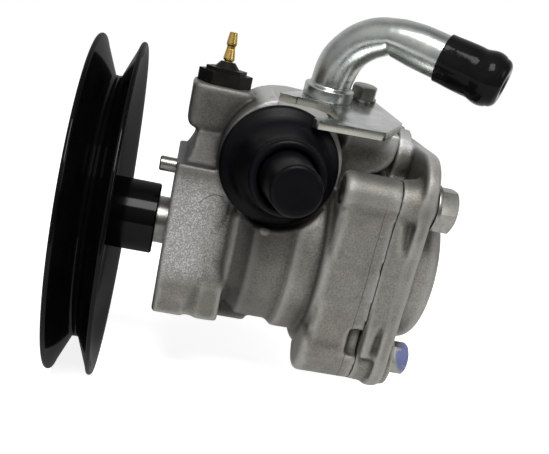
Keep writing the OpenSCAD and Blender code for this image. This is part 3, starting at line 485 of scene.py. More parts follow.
# %% Finishes
X, Z = (1.0, 0.0, 0.0), (0.0, 0.0, 1.0)
zinc_grain = {"fine": 7.0, "broad": 9.0, "speck": 2.5, "speck_dark": 0.06}
recipes = {
    "black_paint": ((0.0015, 0.0015, 0.0018), (0.003, 0.003, 0.0033), (0.08, 0.15), 0.0, 0.003,
                    {"fine": 1.6, "broad": 12.0, "specular": 0.0}),
    "zinc_steel": ((0.33, 0.355, 0.35), (0.465, 0.475, 0.445), (0.22, 0.32), 1.0, 0.001, zinc_grain),
    "zinc_plate": ((0.4, 0.425, 0.43), (0.55, 0.555, 0.535), (0.22, 0.32), 1.0, 0.001, zinc_grain),
    "bolt_zinc": ((0.19, 0.19, 0.17), (0.28, 0.28, 0.255), (0.28, 0.44), 1.0, 0.01,
                  {"fine": 0.4, "broad": 4.0, "speck": 1.5, "speck_dark": 0.2}),
    "bright_steel": ((0.15, 0.147, 0.135), (0.22, 0.216, 0.2), (0.24, 0.4), 1.0, 0.01, {"axis": X}),
    "dark_steel": ((0.006, 0.006, 0.005), (0.014, 0.013, 0.011), (0.28, 0.46), 0.0, 0.02, {"specular": 0.06}),
    "bearing_steel": ((0.62, 0.63, 0.64), (0.7, 0.71, 0.72), (0.08, 0.18), 1.0, 0.004, {"axis": X}),
    "brass": ((0.52, 0.34, 0.10), (0.66, 0.45, 0.15), (0.2, 0.36), 1.0, 0.012, {"axis": Z, "broad": 3.0}),
    "bronze": ((0.42, 0.29, 0.15), (0.52, 0.37, 0.2), (0.3, 0.46), 1.0, 0.012, {"axis": X}),
    "sintered_steel": ((0.26, 0.26, 0.255), (0.36, 0.36, 0.355), (0.32, 0.5), 0.9, 0.02, {"fine": 0.3}),
    "spring_steel": ((0.36, 0.37, 0.39), (0.46, 0.47, 0.49), (0.22, 0.36), 1.0, 0.01, {}),
    "black_rubber": ((0.0022, 0.0022, 0.0028), (0.0042, 0.0042, 0.005), (0.3, 0.44), 0.0, 0.012,
                     {"fine": 0.5, "broad": 8.0, "specular": 0.07}),
    "seal_rubber": ((0.012, 0.012, 0.012), (0.02, 0.02, 0.02), (0.4, 0.55), 0.0, 0.02, {}),
    "black_vinyl": ((0.004, 0.004, 0.0045), (0.008, 0.008, 0.0085), (0.07, 0.15), 0.0, 0.16,
                    {"fine": 5.0, "broad": 8.0, "specular": 0.06}),
}
for name, (low, high, rough, metal, bump_mm, extra) in recipes.items():
    finish[name] = finish_of(name, low, high, rough, metal, bump_mm, **extra)
print("finishes:", len(finish))

# %% [markdown]
# Gloss paint mirrors the studio in a thin clear layer and is black below it. A full coat would turn the deep groove
# grey, so the paint itself has no shine and a weak coat carries it all. The Layer Weight node tells how far a face
# turns away from us, and takes a little of the coat off at the rims, where any coat mirrors most.


# %% Black paint coat
def opened(name):
    """Tree and Principled shader of a finish, to add to it."""
    tree = finish[name].node_tree
    return tree, tree.nodes["Principled BSDF"]


tree, shader = opened("black_paint")
glance = add(tree, "ShaderNodeLayerWeight", Blend=0.5)
join(tree, scaled(tree, glance.outputs["Facing"], 0.5, 0.9, 0.19, 0.17), shader.inputs["Coat Weight"])
shader.inputs["Coat Roughness"].default_value = 0.1
print("coat on", finish["black_paint"].name)

# %% [markdown]
# The flange plate was stamped out of sheet, and its sheared edge is duller and yellower than its face. The plate lies
# almost level, so the upward part of the normal tells face from edge, and no second material is needed.

# %% Sheared plate edge
tree, shader = opened("zinc_plate")
coords, slope = add(tree, "ShaderNodeTexCoord"), add(tree, "ShaderNodeSeparateXYZ")
join(tree, coords.outputs["Normal"], slope.inputs[0])
sheared = scaled(tree, slope.outputs["Z"], 0.2, 0.6, 0.85, 0.0)
zinc_colour = shader.inputs["Base Color"].links[0].from_socket
join(tree, blended(tree, zinc_colour, (0.3, 0.295, 0.25), sheared), shader.inputs["Base Color"])
print("edge on", finish["zinc_plate"].name)

# %% [markdown]
# The lower bolt on the near side carries a dab of blue paint, worn through in places. All the bolts share one finish,
# and the dab is a round spot about the head's own place, broken up by the broad noise.

# %% Blue bolt mark
tree, shader = opened("bolt_zinc")
skin = place(tree, grain, Fine_mm=0.5, Broad_mm=3.2, Speck_mm=1.0)
coords = add(tree, "ShaderNodeTexCoord")
dab = spot_at(tree, coords.outputs["Object"], (111.8, -31.5, -30.5), 7.4, 8.4, 1.0)
blue = product(tree, dab, ramp(tree, skin.outputs["Broad"], [(0.36, 0.0), (0.44, 1.0)]))
zinc_colour = shader.inputs["Base Color"].links[0].from_socket
join(tree, blended(tree, zinc_colour, (0.085, 0.105, 0.235), blue), shader.inputs["Base Color"])
join(tree, scaled(tree, blue, 0.0, 1.0, 1.0, 0.15), shader.inputs["Metallic"])
print("mark on", finish["bolt_zinc"].name)

# %% [markdown]
# Each CAD node names its material slot in the record, so the finishes are handed out by that name. Most pieces inside
# the pump, the hub, the shaft, the pin and the air valve keep their CAD shape and get their finish here. The other
# pieces in view are made anew below.

# %% Hand out the finishes
slot_of = {part["node"]: part["material_slot"] for part in frame["record"]["subparts"]}
for name, obj in nodes.items():
    obj.data.materials.clear()
    obj.data.materials.append(finish[slot_of[name]])
print("nodes with a finish:", len(slot_of))

# %% [markdown]
# Every new surface below is a grid of points. Neighbours in the grid make a quad, a direction that comes back to its
# start is wrapped, and equal points at a pole are merged. So one function makes all the meshes, and another one links
# a mesh, gives it its finish and ties it to the body that it moves with.


# %% Mesh helpers
def tidy_mesh(mesh, sharp):
    """Merges the poles and seams, turns the faces outwards and shades smooth up to an edge angle."""
    bm = bmesh.new()
    bm.from_mesh(mesh)
    bmesh.ops.remove_doubles(bm, verts=bm.verts, dist=1e-7)
    bmesh.ops.recalc_face_normals(bm, faces=bm.faces)
    bm.to_mesh(mesh)
    bm.free()
    mesh.polygons.foreach_set("use_smooth", np.ones(len(mesh.polygons), bool))
    mesh.set_sharp_from_angle(angle=math.radians(sharp))
    mesh.update()


def grid_mesh(name, points, wrap=(False, True), sharp=38.0):
    """Turns an (n, m, 3) grid in metres into a closed mesh of quads."""
    n, m, _ = points.shape
    index = np.arange(n * m).reshape(n, m)
    if wrap[0]:
        index = np.vstack([index, index[:1]])
    if wrap[1]:
        index = np.hstack([index, index[:, :1]])
    quads = np.stack([index[:-1, :-1], index[:-1, 1:], index[1:, 1:], index[1:, :-1]], -1).reshape(-1, 4)
    mesh = bpy.data.meshes.new(name)
    mesh.from_pydata(points.reshape(-1, 3).tolist(), [], quads.tolist())
    tidy_mesh(mesh, sharp)
    return mesh


def add_piece(name, mesh, slot, body, stands_for=(), look=None):
    """Links a mesh into the scene, gives it a finish, ties it to its body and hides the nodes it stands for."""
    obj = linked(name, mesh)
    mesh.materials.clear()
    mesh.materials.append(finish[look or slot])
    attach(obj, body)
    if stands_for:
        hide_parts(*stands_for)
    print(name, "faces:", len(mesh.polygons))
    return obj


def grid_piece(name, points, slot, body, stands_for=(), wrap=(False, True), sharp=38.0):
    """A grid of points made into a piece that rides on a body."""
    return add_piece(name, grid_mesh(name, points, wrap, sharp), slot, body, stands_for)


print("mesh helpers ready")

# %% [markdown]
# Many pieces of this pump are round: the pulley's discs, the plug, the cap. A lathe makes such a piece from a profile
# that turns about an axis. Here the same thing is done with arrays: the profile gives distance and radius, the turn
# gives the angle, and the whole grid of points comes from one product of the two.


# %% Surface helpers
def soften(profile, rounds=3):
    """Corner cutting: each round replaces every edge by points at a quarter and three quarters of it."""
    pts = np.asarray(profile, float)
    for _ in range(rounds):
        cur, nxt = pts[:-1], pts[1:]
        cut = np.stack([0.75 * cur + 0.25 * nxt, 0.25 * cur + 0.75 * nxt], 1).reshape(-1, pts.shape[1])
        pts = np.vstack([pts[:1], cut, pts[-1:]])
    return pts


def arc(cx, cy, r, a0, a1, n=8):
    """Points of an arc about (cx, cy), angles in degrees."""
    a = np.radians(np.linspace(a0, a1, n))
    return np.stack([cx + r * np.cos(a), cy + r * np.sin(a)], 1)


def turned(profile, origin, axis, side, steps=160, lean=(0.0, 0.0, 0.0)):
    """Lathe surface: origin + a * (axis + lean) + r * (cos t * side + sin t * across), rows are (a, r) in mm.

    Axis and side are unit directions at right angles.
    """
    prof = np.asarray(profile, float) * MM
    axis, side = np.asarray(axis, float), np.asarray(side, float)
    across = np.cross(axis, side)
    t = np.linspace(0.0, 2.0 * np.pi, steps, endpoint=False)
    circle = np.cos(t)[:, None] * side + np.sin(t)[:, None] * across
    centre = np.asarray(origin, float) * MM + prof[:, :1] * (axis + np.asarray(lean, float))
    return centre[:, None, :] + prof[:, 1][:, None, None] * circle[None, :, :]


def capped(rows):
    """Closes a surface of rows in mm: the middle of the first and of the last row is added as a pole at each end."""
    first, last = (np.broadcast_to(rows[k].mean(axis=0), rows[k].shape) for k in (0, -1))
    return np.concatenate([first[None], rows, last[None]]) * MM


print("surface helpers ready")

# %% [markdown]
# The pulley is two pressed sheets, back to back. Each has a flat web, a bend into the wall of the belt groove and a
# rim that is rolled over so that the belt isn't cut. A Screw modifier could spin such a profile too. As an array it
# needs no helper object: the wall profile is a closed loop, carried once round the shaft, and mirrored for the front.

# %% Pulley sheets
web_x, rim_r, floor_r, sheet, half_w, spigot_r = -28.9, 69.96, 55.0, 2.0, 9.4, 12.0
lip = sheet / 2
sheet_loop = np.vstack([
    [[0.0, spigot_r], [0.0, floor_r - 0.4], [0.4, floor_r], [1.2, floor_r]],
    soften([[1.2, floor_r], [1.7, floor_r + 0.3], [2.2, floor_r + 1.4], [half_w - sheet - 0.6, rim_r - 2.6]], 2),
    arc(half_w - lip, rim_r - lip, lip, 160, -20, 12),
    soften([[half_w - 0.2, rim_r - 2.2], [half_w - 0.6, rim_r - 4.5], [3.9, floor_r - 1.0], [2.6, floor_r - 3.2],
            [sheet, floor_r - 5.0], [sheet, floor_r - 9.0]], 2),
    [[sheet, spigot_r]],
])
for name, way in (("pulley_back_sheet", 1.0), ("pulley_front_sheet", -1.0)):
    surface = turned(sheet_loop, (web_x, 0, 0), (way, 0, 0), (0, 0, 1), steps=240)
    grid_piece(name, surface, "black_paint", "shaft", [name.replace("sheet", "disc")], wrap=(True, True), sharp=50)

# %% [markdown]
# The suction pipe is bent steel tube: a short rise out of its collar, one bend of a little over a right angle and a
# straight end with a bead that keeps the hose on. A curve with a round bevel would give a tube that is round all the
# way. Here rings of our own are carried along the path, so that the bend can be flattened. The path lies in one plane,
# so the ring at each station is spanned by the path's own normal and the constant direction across the plane.


# %% Pipe path
flange_at = np.array([56.5, 5.0, 64.0])
tilt, heading, bend = math.radians(7.5), math.radians(27.7), math.radians(97.2)
rise, bend_r, run, pipe_r = 8.6, 22.1, 39.8, 8.6
plate_u = np.array([1.0, 0.0, 0.0])
plate_v = np.array([0.0, math.cos(tilt), math.sin(tilt)])
plate_normal = np.array([0.0, -math.sin(tilt), math.cos(tilt)])
pipe_ahead = math.cos(heading) * plate_u - math.sin(heading) * plate_v
pipe_across = np.cross(plate_normal, pipe_ahead)
bend_end = rise + bend_r * bend
pipe_end = bend_end + run


def pipe_line(s):
    """Centre line and tangent at arc length s in mm: straight rise, circular bend, straight run."""
    s = np.asarray(s, float)
    turn = np.clip((s - rise) / bend_r, 0.0, bend)
    low, high = np.minimum(s, rise), np.maximum(s - bend_end, 0.0)
    a = bend_r * (1.0 - np.cos(turn)) + high * np.sin(turn)
    z = low + bend_r * np.sin(turn) + high * np.cos(turn)
    centre = flange_at + a[:, None] * pipe_ahead + z[:, None] * plate_normal
    tangent = np.sin(turn)[:, None] * pipe_ahead + np.cos(turn)[:, None] * plate_normal
    return centre, tangent


def round_rows(rows):
    """Rows (arc length, radius) of a round profile, written with three equal radii."""
    return np.asarray(rows, float)[:, [0, 1, 1, 1]]


def swept(rows, steps=96):
    """Surface along the pipe, rows are (arc length, back, belly and flank radius) in mm.

    Ring: ((belly - back) / 2 + (belly + back) / 2 * cos t) * side + flank * sin t * across.
    """
    back, belly, flank = rows[:, 1:].T
    centre, tangent = pipe_line(rows[:, 0])
    side = np.cross(pipe_across, tangent)
    t = np.linspace(0.0, 2.0 * np.pi, steps, endpoint=False)
    inward = 0.5 * (belly - back)[:, None] + 0.5 * (belly + back)[:, None] * np.cos(t)
    ring = inward[:, :, None] * side[:, None, :] + (flank[:, None] * np.sin(t))[:, :, None] * pipe_across
    return (centre[:, None, :] + ring) * MM


print("pipe length mm:", round(pipe_end, 1))

# %% [markdown]
# Bending flattened the tube: its back and its belly come closer towards the end of the bend, where the belly has a
# crease, and its flanks swell. So each ring has three radii, which run through a few measured stations and are eased.

# %% Suction pipe
bead_at = pipe_end - 4.0
stations = np.linspace(6.4, bead_at - 2.6, 150)
back_r = np.interp(stations, [6, 16, 22, 30, 41, 46, 52, 60], [8.3, 7.9, 7.2, 6.9, 6.7, 7.6, 8.4, pipe_r])
belly_r = np.interp(stations, [6, 10, 16, 30, 36, 41, 46, 52, 60], [8.5, 9.2, 9.4, 8.9, 8.4, 7.6, 8.0, 8.5, pipe_r])
crease = 0.55 * np.exp(-((stations - 41.5) / 1.1) ** 2)
flank_r = pipe_r + 0.5 * np.exp(-((stations - 38.0) / 9.0) ** 2)
ease = np.array([1, 2, 3, 4, 5, 4, 3, 2, 1]) / 25.0
back_r, belly_r = (np.convolve(np.pad(r, 4, mode="edge"), ease, mode="valid") for r in (back_r, belly_r))
pipe_rows = np.vstack([
    round_rows([[-3.2, 0.0], [-3.2, 7.0], [0.0, 7.0], [0.0, 10.2]]),
    round_rows(arc(0.3, 10.2, 0.3, 180, 90, 4)),
    round_rows(arc(4.0, 9.9, 0.6, 90, 10, 6)),
    round_rows(arc(5.9, 9.6, 1.1, 200, 262, 5)),
    np.stack([stations, back_r, belly_r - crease, flank_r], 1),
    round_rows(arc(bead_at, 8.1, 1.5, 160, 20, 14)),
    round_rows([[bead_at + 2.2, pipe_r], [pipe_end - 0.5, pipe_r], [pipe_end, pipe_r - 0.5], [pipe_end, 7.2],
                [pipe_end - 6.0, 7.2], [pipe_end - 6.0, 0.0]]),
])
grid_piece("suction_pipe_bent", swept(pipe_rows), "zinc_steel", "housing", ["suction_pipe"])

# %% [markdown]
# The vinyl cap was dipped, so it has a thin rolled mouth, a waist, a soft swelling over the pipe's bead and a rounded
# end with a shallow dimple. It is turned about the straight end of the pipe.

# %% Pipe cap
cap_mouth, cap_end = bend_end + 16.6, bend_end + 42.7
cap_rows = np.vstack([
    [[cap_mouth + 0.5, pipe_r + 0.03], [cap_mouth, pipe_r + 0.2]],
    arc(cap_mouth + 0.5, 8.9, 0.5, 180, 90, 6),
    soften([[cap_mouth + 0.5, 9.4], [cap_mouth + 3.0, 9.4], [bead_at - 13.0, 9.6], [bead_at - 7.0, 9.75],
            [bead_at - 4.6, 9.55], [bead_at - 2.6, 10.1], [bead_at - 0.6, 10.55], [bead_at + 1.4, 10.5],
            [bead_at + 3.2, 9.95]], 3),
    arc(cap_end - 3.4, 6.1, 3.4, 85, 8, 10),
    soften([[cap_end - 0.05, 5.4], [cap_end, 4.4], [cap_end - 0.5, 3.0], [cap_end - 1.3, 1.6],
            [cap_end - 1.5, 0.0]], 2),
])
grid_piece("pipe_cap_dipped", swept(round_rows(cap_rows)), "black_vinyl", "housing", ["pipe_cap"])

# %% [markdown]
# The transit plug is moulded rubber: a flange against the port, a cone, a rounded lip with a deep groove behind it
# and a short grip. It was pushed in a little askew, so its centre line leans towards the cover. Only the stem inside
# the port is straight, so its rings are moved back onto the port's own line.

# %% Port plug
port_line, port_y = (39.5, 0.0, 37.3), -26.0
plug_at, plug_lean = (38.6, port_y, 37.4), (0.07, 0.0, 0.0)
plug_rows = np.vstack([
    [[-9.0, 0.0], [-9.0, 5.4], [-7.6, 6.4], [0.05, 6.4], [0.05, 22.4]],
    arc(1.9, 21.5, 1.9, 160, 40, 8),
    soften([[3.6, 22.4], [4.6, 20.6], [5.2, 19.6], [7.0, 17.6], [12.0, 15.9], [18.5, 15.0]], 2),
    arc(21.8, 12.7, 1.9, 110, -40, 12),
    soften([[22.0, 11.6], [18.4, 11.3], [17.0, 10.9], [17.2, 10.6], [20.0, 10.5], [30.0, 9.9]], 2),
    arc(40.2, 7.7, 1.8, 78, 4, 8),
    [[42.0, 6.4], [41.9, 3.0], [41.8, 0.0]],
])
plug = turned(plug_rows, plug_at, (0, -1, 0), (0, 0, 1), lean=plug_lean)
in_port = plug[..., 1] > (port_y - 0.2) * MM
askew = plug[..., 0].mean(axis=1, keepdims=True) - port_line[0] * MM
plug[..., 0] -= np.where(in_port, askew, 0.0)
grid_piece("port_plug_moulded", plug, "black_rubber", "housing", ["port_plug"])

# %% [markdown]
# Two springs work inside: one behind the flow control spool, one over the plunger of the air valve. A spring is a
# wire circle carried along a helix. A Screw modifier climbs evenly, but the first and last turns of a real spring lie
# flat, so the climb is a function of our own. Both springs are squashed as their piston comes towards them, each onto
# the end that stays in place.


# %% Springs
def coil(centre, axis, side, start, end, mean_r, wire_r, turns):
    """Helix: centre + h(s) * axis + (mean + wire cos b) * radial(a) + wire sin b * axis, with a = 2 pi s.

    s counts the turns, and h rises evenly except in the first and last three quarters of a turn.
    """
    axis, side = np.asarray(axis, float), np.asarray(side, float)
    across = np.cross(axis, side)
    s = np.linspace(0.0, turns, 48 * turns)
    h = start + wire_r + (end - start - 2.0 * wire_r) * np.clip((s - 0.75) / (turns - 1.5), 0.0, 1.0)
    a, b = 2.0 * np.pi * s, np.linspace(0.0, 2.0 * np.pi, 14, endpoint=False)
    radial = np.cos(a)[:, None] * side + np.sin(a)[:, None] * across
    reach = (mean_r + wire_r * np.cos(b))[None, :, None] * radial[:, None, :]
    lift = (h[:, None] + wire_r * np.sin(b))[:, :, None] * axis
    return capped(np.asarray(centre, float) + reach + lift)


valve_line = (13.2, 0.0, 0.0)
spring = grid_piece("spool_spring_coil", coil(port_line, (0, 1, 0), (1, 0, 0), 6.35, 20.05, 4.6, 0.7, 6),
                    "spring_steel", "housing", ["spool_spring"], sharp=80)
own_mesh(spring)
spring = grid_piece("air_valve_spring_coil", coil(valve_line, (0, 0, 1), (1, 0, 0), 43.65, 58.35, 2.4, 0.5, 6),
                    "spring_steel", "housing", ["air_valve_spring"], sharp=80)
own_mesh(spring)

# %% [markdown]
# The two castings have no sharp corner on the real pump: every edge is rounded by the pattern, and the bosses run
# into the barrel. Rounding each edge by hand would take hundreds of bevels. Here a copy of the CAD mesh is merged,
# rebuilt on an even voxel grid, and relaxed: each point moves towards the mean of its neighbours and a little back
# again, so corners soften and the size stays.


# %% Relaxing helpers
def applied(obj):
    """Mesh of an object with its modifiers applied; the object itself is removed."""
    graph = bpy.context.evaluated_depsgraph_get()
    mesh = bpy.data.meshes.new_from_object(obj.evaluated_get(graph))
    bpy.data.objects.remove(obj)
    return mesh


def merged_copy(node, fills=()):
    """Copy of a CAD node's mesh with its loose triangles merged, and with fills added, in a new object."""
    bm = bmesh.new()
    bm.from_mesh(nodes[node].data)
    bmesh.ops.remove_doubles(bm, verts=bm.verts, dist=1e-6)
    for fill in fills:
        bm.from_mesh(fill)
    mesh = bpy.data.meshes.new(node + "_copy")
    bm.to_mesh(mesh)
    bm.free()
    return linked(node + "_copy", mesh)


def read_points(mesh):
    """Points (n, 3) and edges (m, 2) of a mesh as arrays."""
    points = np.empty(len(mesh.vertices) * 3)
    mesh.vertices.foreach_get("co", points)
    edges = np.empty(len(mesh.edges) * 2, np.int32)
    mesh.edges.foreach_get("vertices", edges)
    return points.reshape(-1, 3), edges.reshape(-1, 2)


def neighbour_mean(points, edges):
    """Mean of each point's neighbours: sums over both directions of every edge, divided by their count."""
    start = np.concatenate([edges[:, 0], edges[:, 1]])
    end = np.concatenate([edges[:, 1], edges[:, 0]])
    count = np.maximum(np.bincount(start, minlength=len(points)), 1)
    sums = [np.bincount(start, weights=points[end, k], minlength=len(points)) for k in range(3)]
    return np.stack(sums, 1) / count[:, None]


def relaxed(points, edges, weight, rounds):
    """Each round moves points half way to their neighbours' mean, then back by slightly more, times a weight."""
    for _ in range(rounds):
        for step in (0.5, -0.51):
            points = points + step * weight[:, None] * (neighbour_mean(points, edges) - points)
    return points


print("relaxing helpers ready")

# %% [markdown]
# After the relaxing, the bores are pulled back onto the CAD surface with a Shrinkwrap modifier, because parts turn and
# slide in them. Last, the skin is compared with a much smoother copy of itself: what stands out is a ridge, what lies
# below is a hollow. The two attributes that the cast finish reads come from that.


# %% Casting helpers
def mark_relief(mesh):
    """Writes ridge and hollow: height above a smoothed copy along the normal, over a depth in mm, from -1 to 1."""
    points, edges = read_points(mesh)
    normals = np.empty(len(mesh.vertices) * 3)
    mesh.vertices.foreach_get("normal", normals)
    smooth = points
    for label, passes, depth in (("ridge", 14, 0.3), ("hollow", 90, 1.2)):
        for _ in range(passes):
            smooth = 0.5 * (smooth + neighbour_mean(smooth, edges))
        height = ((points - smooth) * normals.reshape(-1, 3)).sum(1) / MM
        relief = mesh.attributes.new(label, "FLOAT", "POINT")
        relief.data.foreach_set("value", np.clip(height / depth, -1.0, 1.0).astype(np.float32))
        print(label, "mm:", height.min().round(2), height.max().round(2))


def cast_piece(name, node, voxel_mm, rounds, weight_of, bore_of, fills):
    """Casting: voxel skin of the CAD mesh and its fills, relaxed by weight, with the bores wrapped back."""
    holder = merged_copy(node, fills)
    grid = holder.modifiers.new("even_grid", "REMESH")
    grid.mode = "VOXEL"
    grid.voxel_size = voxel_mm * MM
    mesh = applied(holder)
    points, edges = read_points(mesh)
    points = relaxed(points, edges, weight_of(points / MM), rounds)
    mesh.vertices.foreach_set("co", points.ravel())
    holder = linked(name + "_skin", mesh)
    bores = holder.vertex_groups.new(name="bores")
    bores.add(np.nonzero(bore_of(points / MM))[0].tolist(), 1.0, "REPLACE")
    wrap = holder.modifiers.new("bores", "SHRINKWRAP")
    wrap.wrap_method = "NEAREST_SURFACEPOINT"
    wrap.target = nodes[node]
    wrap.vertex_group = "bores"
    mesh = applied(holder)
    mesh.name = name
    tidy_mesh(mesh, 60)
    mark_relief(mesh)
    return add_piece(name, mesh, "cast_aluminium", "housing", [node])


print("casting helpers ready")

# %% [markdown]
# Which points are raw skin and which are machined? Both could be painted by hand as vertex weights. The bores and
# faces lie on known lines and planes, so a few distances decide it for all points at once.

# %% Machined zones
joint_x, plate_t = 85.5, 3.2


def off_axis(p, k, centre):
    """Distance of points from a line along coordinate axis k through a centre point, in mm."""
    rest = [i for i in range(3) if i != k]
    return np.hypot(p[:, rest[0]] - centre[rest[0]], p[:, rest[1]] - centre[rest[1]])


def housing_bores(p):
    """True inside the shaft, cartridge, spool and valve bores of the housing, and at its front and joint faces."""
    x, r = p[:, 0], np.hypot(p[:, 1], p[:, 2])
    shaft = (r < 22.6) & (x > -1.0) & (x < 62.0)
    cartridge = (r < 36.2) & (x > 49.0)
    spool = off_axis(p, 1, port_line) < 11.6
    valve = (off_axis(p, 2, valve_line) < 7.6) & (p[:, 2] > 30.0)
    return shaft | cartridge | spool | valve | (x < 0.3) | (x > joint_x - 0.3)


def housing_weight(p):
    """How far the relaxing goes: 1 on raw skin, less near machined faces, none in the bores."""
    x, y, z = p.T
    pad_top = flange_at[2] + (y - flange_at[1]) * math.tan(tilt) - plate_t
    plane = np.minimum.reduce([np.abs(x), np.abs(x - joint_x), np.abs(y - port_y) + 100.0 * (x < 27),
                               np.abs(z - 60.5)])
    weight = np.clip(0.25 + plane / 2.0, 0.25, 1.0)
    weight = np.where(np.abs(z - pad_top) < 1.0, 0.3, weight)
    return np.where(housing_bores(p), 0.0, weight)


def cover_bores(p):
    """True in the bush bore, at the joint face and round the bolt holes of the cover."""
    x, r = p[:, 0], np.hypot(p[:, 1], p[:, 2])
    bolt = np.minimum(off_axis(np.abs(p), 0, (0, 36, 35)), off_axis(np.abs(p), 0, (0, 28, 33)))
    return (x < joint_x + 0.3) | ((r < 10.5) & (x < 99.0)) | ((bolt < 6.0) & (x < 99.0))


def cover_weight(p):
    """The cover is relaxed everywhere except in its bores."""
    return np.where(cover_bores(p), 0.0, 1.0)


print("machined zones ready")

# %% [markdown]
# The real castings have a little more metal than the plain CAD solids in three places: the block's rear corner gets
# sharper towards its foot and ends in a proud pad, and the cover's near flank runs flush with the rim plate, with a
# wedge pocket towards each bolt. Each is a small closed surface that overlaps the casting. It is added before the
# voxel skin is drawn, so the skin flows over both and no seam shows.


# %% Fills
def block_corner():
    """Rear near corner: at each height a quarter circle whose radius grows upwards, closed by an arc inside."""
    z = np.linspace(-31.0, 8.0, 30)[:, None]
    r, x1, y1 = (np.interp(z, [-14, 8], span) for span in ([3.5, 13.2], [26.9, 27.0], [-25.95, -25.2]))
    a = np.radians(np.linspace(-90, 0, 10))
    inner_x, inner_y = 15.0 + 12.2 * np.cos(a[::-1]), -13.0 + 12.2 * np.sin(a[::-1])
    x = np.hstack([x1 - r + r * np.cos(a), np.broadcast_to(inner_x, (30, 10))])
    y = np.hstack([y1 + r + r * np.sin(a), np.broadcast_to(inner_y, (30, 10))])
    return capped(np.stack([x, y, np.broadcast_to(z, x.shape)], -1))


def block_pad():
    """Proud pad at the foot: at each height a ring of six points, its near side drawn back towards the upper end."""
    z = np.linspace(-31.7, -13.6, 20)[:, None]
    out = np.interp(z, [-31.7, -31.0, -18.0, -13.6], [26.0, 26.7, 26.7, 25.6])
    x = np.broadcast_to([17.8, 18.1, 26.7, 27.2, 27.2, 17.8], (20, 6))
    y = np.hstack([0.3 - out, -out, -out, 0.5 - out, np.full((20, 1), -21.0), np.full((20, 1), -23.5)])
    return capped(np.stack([x, y, np.broadcast_to(z, x.shape)], -1))


def cover_flank():
    """Near flank: at each height a ring up the plane from seam to rim, down into the pocket and back inside."""
    z = np.linspace(-30.0, 29.0, 50)[:, None]
    flat = np.zeros_like(z)
    edge, seam = 44.6 + 0.0486 * z, 41.9 + 0.025 * np.abs(z)
    wide = np.interp(z, [-30, -20, -9, 10.8, 20, 29], [4.6, 3.6, 0.3, 0.3, 3.6, 5.4])
    deep = np.interp(z, [-30, -27, -20, -9, 10.8, 17, 29], [1.6, 3.6, 3.4, 0.0, 0.0, 2.8, 4.6])
    rim = edge + (seam - edge) * wide / 6.8
    x = np.hstack([flat + 86.1, flat + 86.3, 93.0 - wide, flat + 93.0, flat + 94.0, flat + 94.0])
    y = -np.hstack([flat + 38.5, seam, rim, edge - deep, edge - deep, flat + 38.5])
    return capped(np.stack([x, y, np.broadcast_to(z, x.shape)], -1))


block_fills = [grid_mesh("fill", surface) for surface in (block_corner(), block_pad())]
cover_fills = [grid_mesh("fill", cover_flank())]
print("fills:", len(block_fills + cover_fills))

# %% [markdown]
# With zones and fills ready, each casting is one call. The voxels are just under a millimetre: smaller ones would
# keep more of the CAD's sharp edges and cost many more triangles.

# %% Castings
cast_piece("housing_casting", "front_housing", 0.95, 26, housing_weight, housing_bores, block_fills)
cast_piece("cover_casting", "rear_cover", 0.85, 22, cover_weight, cover_bores, cover_fills)

# %% [markdown]
# The flange plate under the pipe was stamped from sheet: its edges are rolled over a little, so they catch the light.
# Its outline is drawn with rounded corners, and the bite in it leaves room for the plug.


# %% Flange outline
def rounded(corners, cuts, steps=7):
    """Outline with each corner replaced by a curve (1-t)^2 A + 2t(1-t) P + t^2 B, A and B a cut away from it."""
    P, cut = np.asarray(corners, float), np.asarray(cuts, float)[:, None]
    before, after = np.roll(P, 1, axis=0) - P, np.roll(P, -1, axis=0) - P
    A = P + cut * before / np.linalg.norm(before, axis=1)[:, None]
    B = P + cut * after / np.linalg.norm(after, axis=1)[:, None]
    t = np.linspace(0.0, 1.0, steps)[None, :, None]
    return ((1 - t) ** 2 * A[:, None] + 2 * t * (1 - t) * P[:, None] + t ** 2 * B[:, None]).reshape(-1, 2)


def ring_edges(start, count):
    """Edges of a closed ring of points, as index pairs."""
    index = np.arange(count)
    return np.stack([index, np.roll(index, -1)], 1) + start


outline = rounded(
    [[-20.9, -10.0], [-13.9, -11.6], [-13.4, -10.5], [-4.8, -11.3], [0.9, -16.6], [1.6, -32.0], [-9.6, -38.4],
     [-8.4, -41.4], [18.8, -38.4], [29.6, -18.0], [23.4, 7.4], [21.6, 16.0], [12.0, 17.0], [-4.0, 11.0],
     [-10.0, 2.1]],
    [0.5, 0.3, 0.3, 2.6, 3.4, 2.6, 0.8, 1.0, 1.4, 1.2, 2.0, 4.0, 4.0, 4.0, 3.0])
hole_steps, pipe_hole_r, bolt_hole_r, bolt_hole_at = 48, 7.05, 4.4, np.array([16.8, 10.4])
angles = np.linspace(0.0, 2.0 * np.pi, hole_steps, endpoint=False)
circle = np.stack([np.cos(angles), np.sin(angles)], 1)
plate_flat = np.vstack([outline, pipe_hole_r * circle, bolt_hole_at + bolt_hole_r * circle])
first_hole = len(outline)
plate_edges = np.vstack([ring_edges(0, first_hole), ring_edges(first_hole, hole_steps),
                         ring_edges(first_hole + hole_steps, hole_steps)])
print("outline points:", first_hole, "width mm:", np.ptp(outline[:, 0]).round(1))

# %% [markdown]
# Outline and holes are laid on the tilted plane under the pipe and filled with triangles. A Solidify modifier then
# gives the sheet its thickness downwards, and a narrow Bevel rolls its edges over.

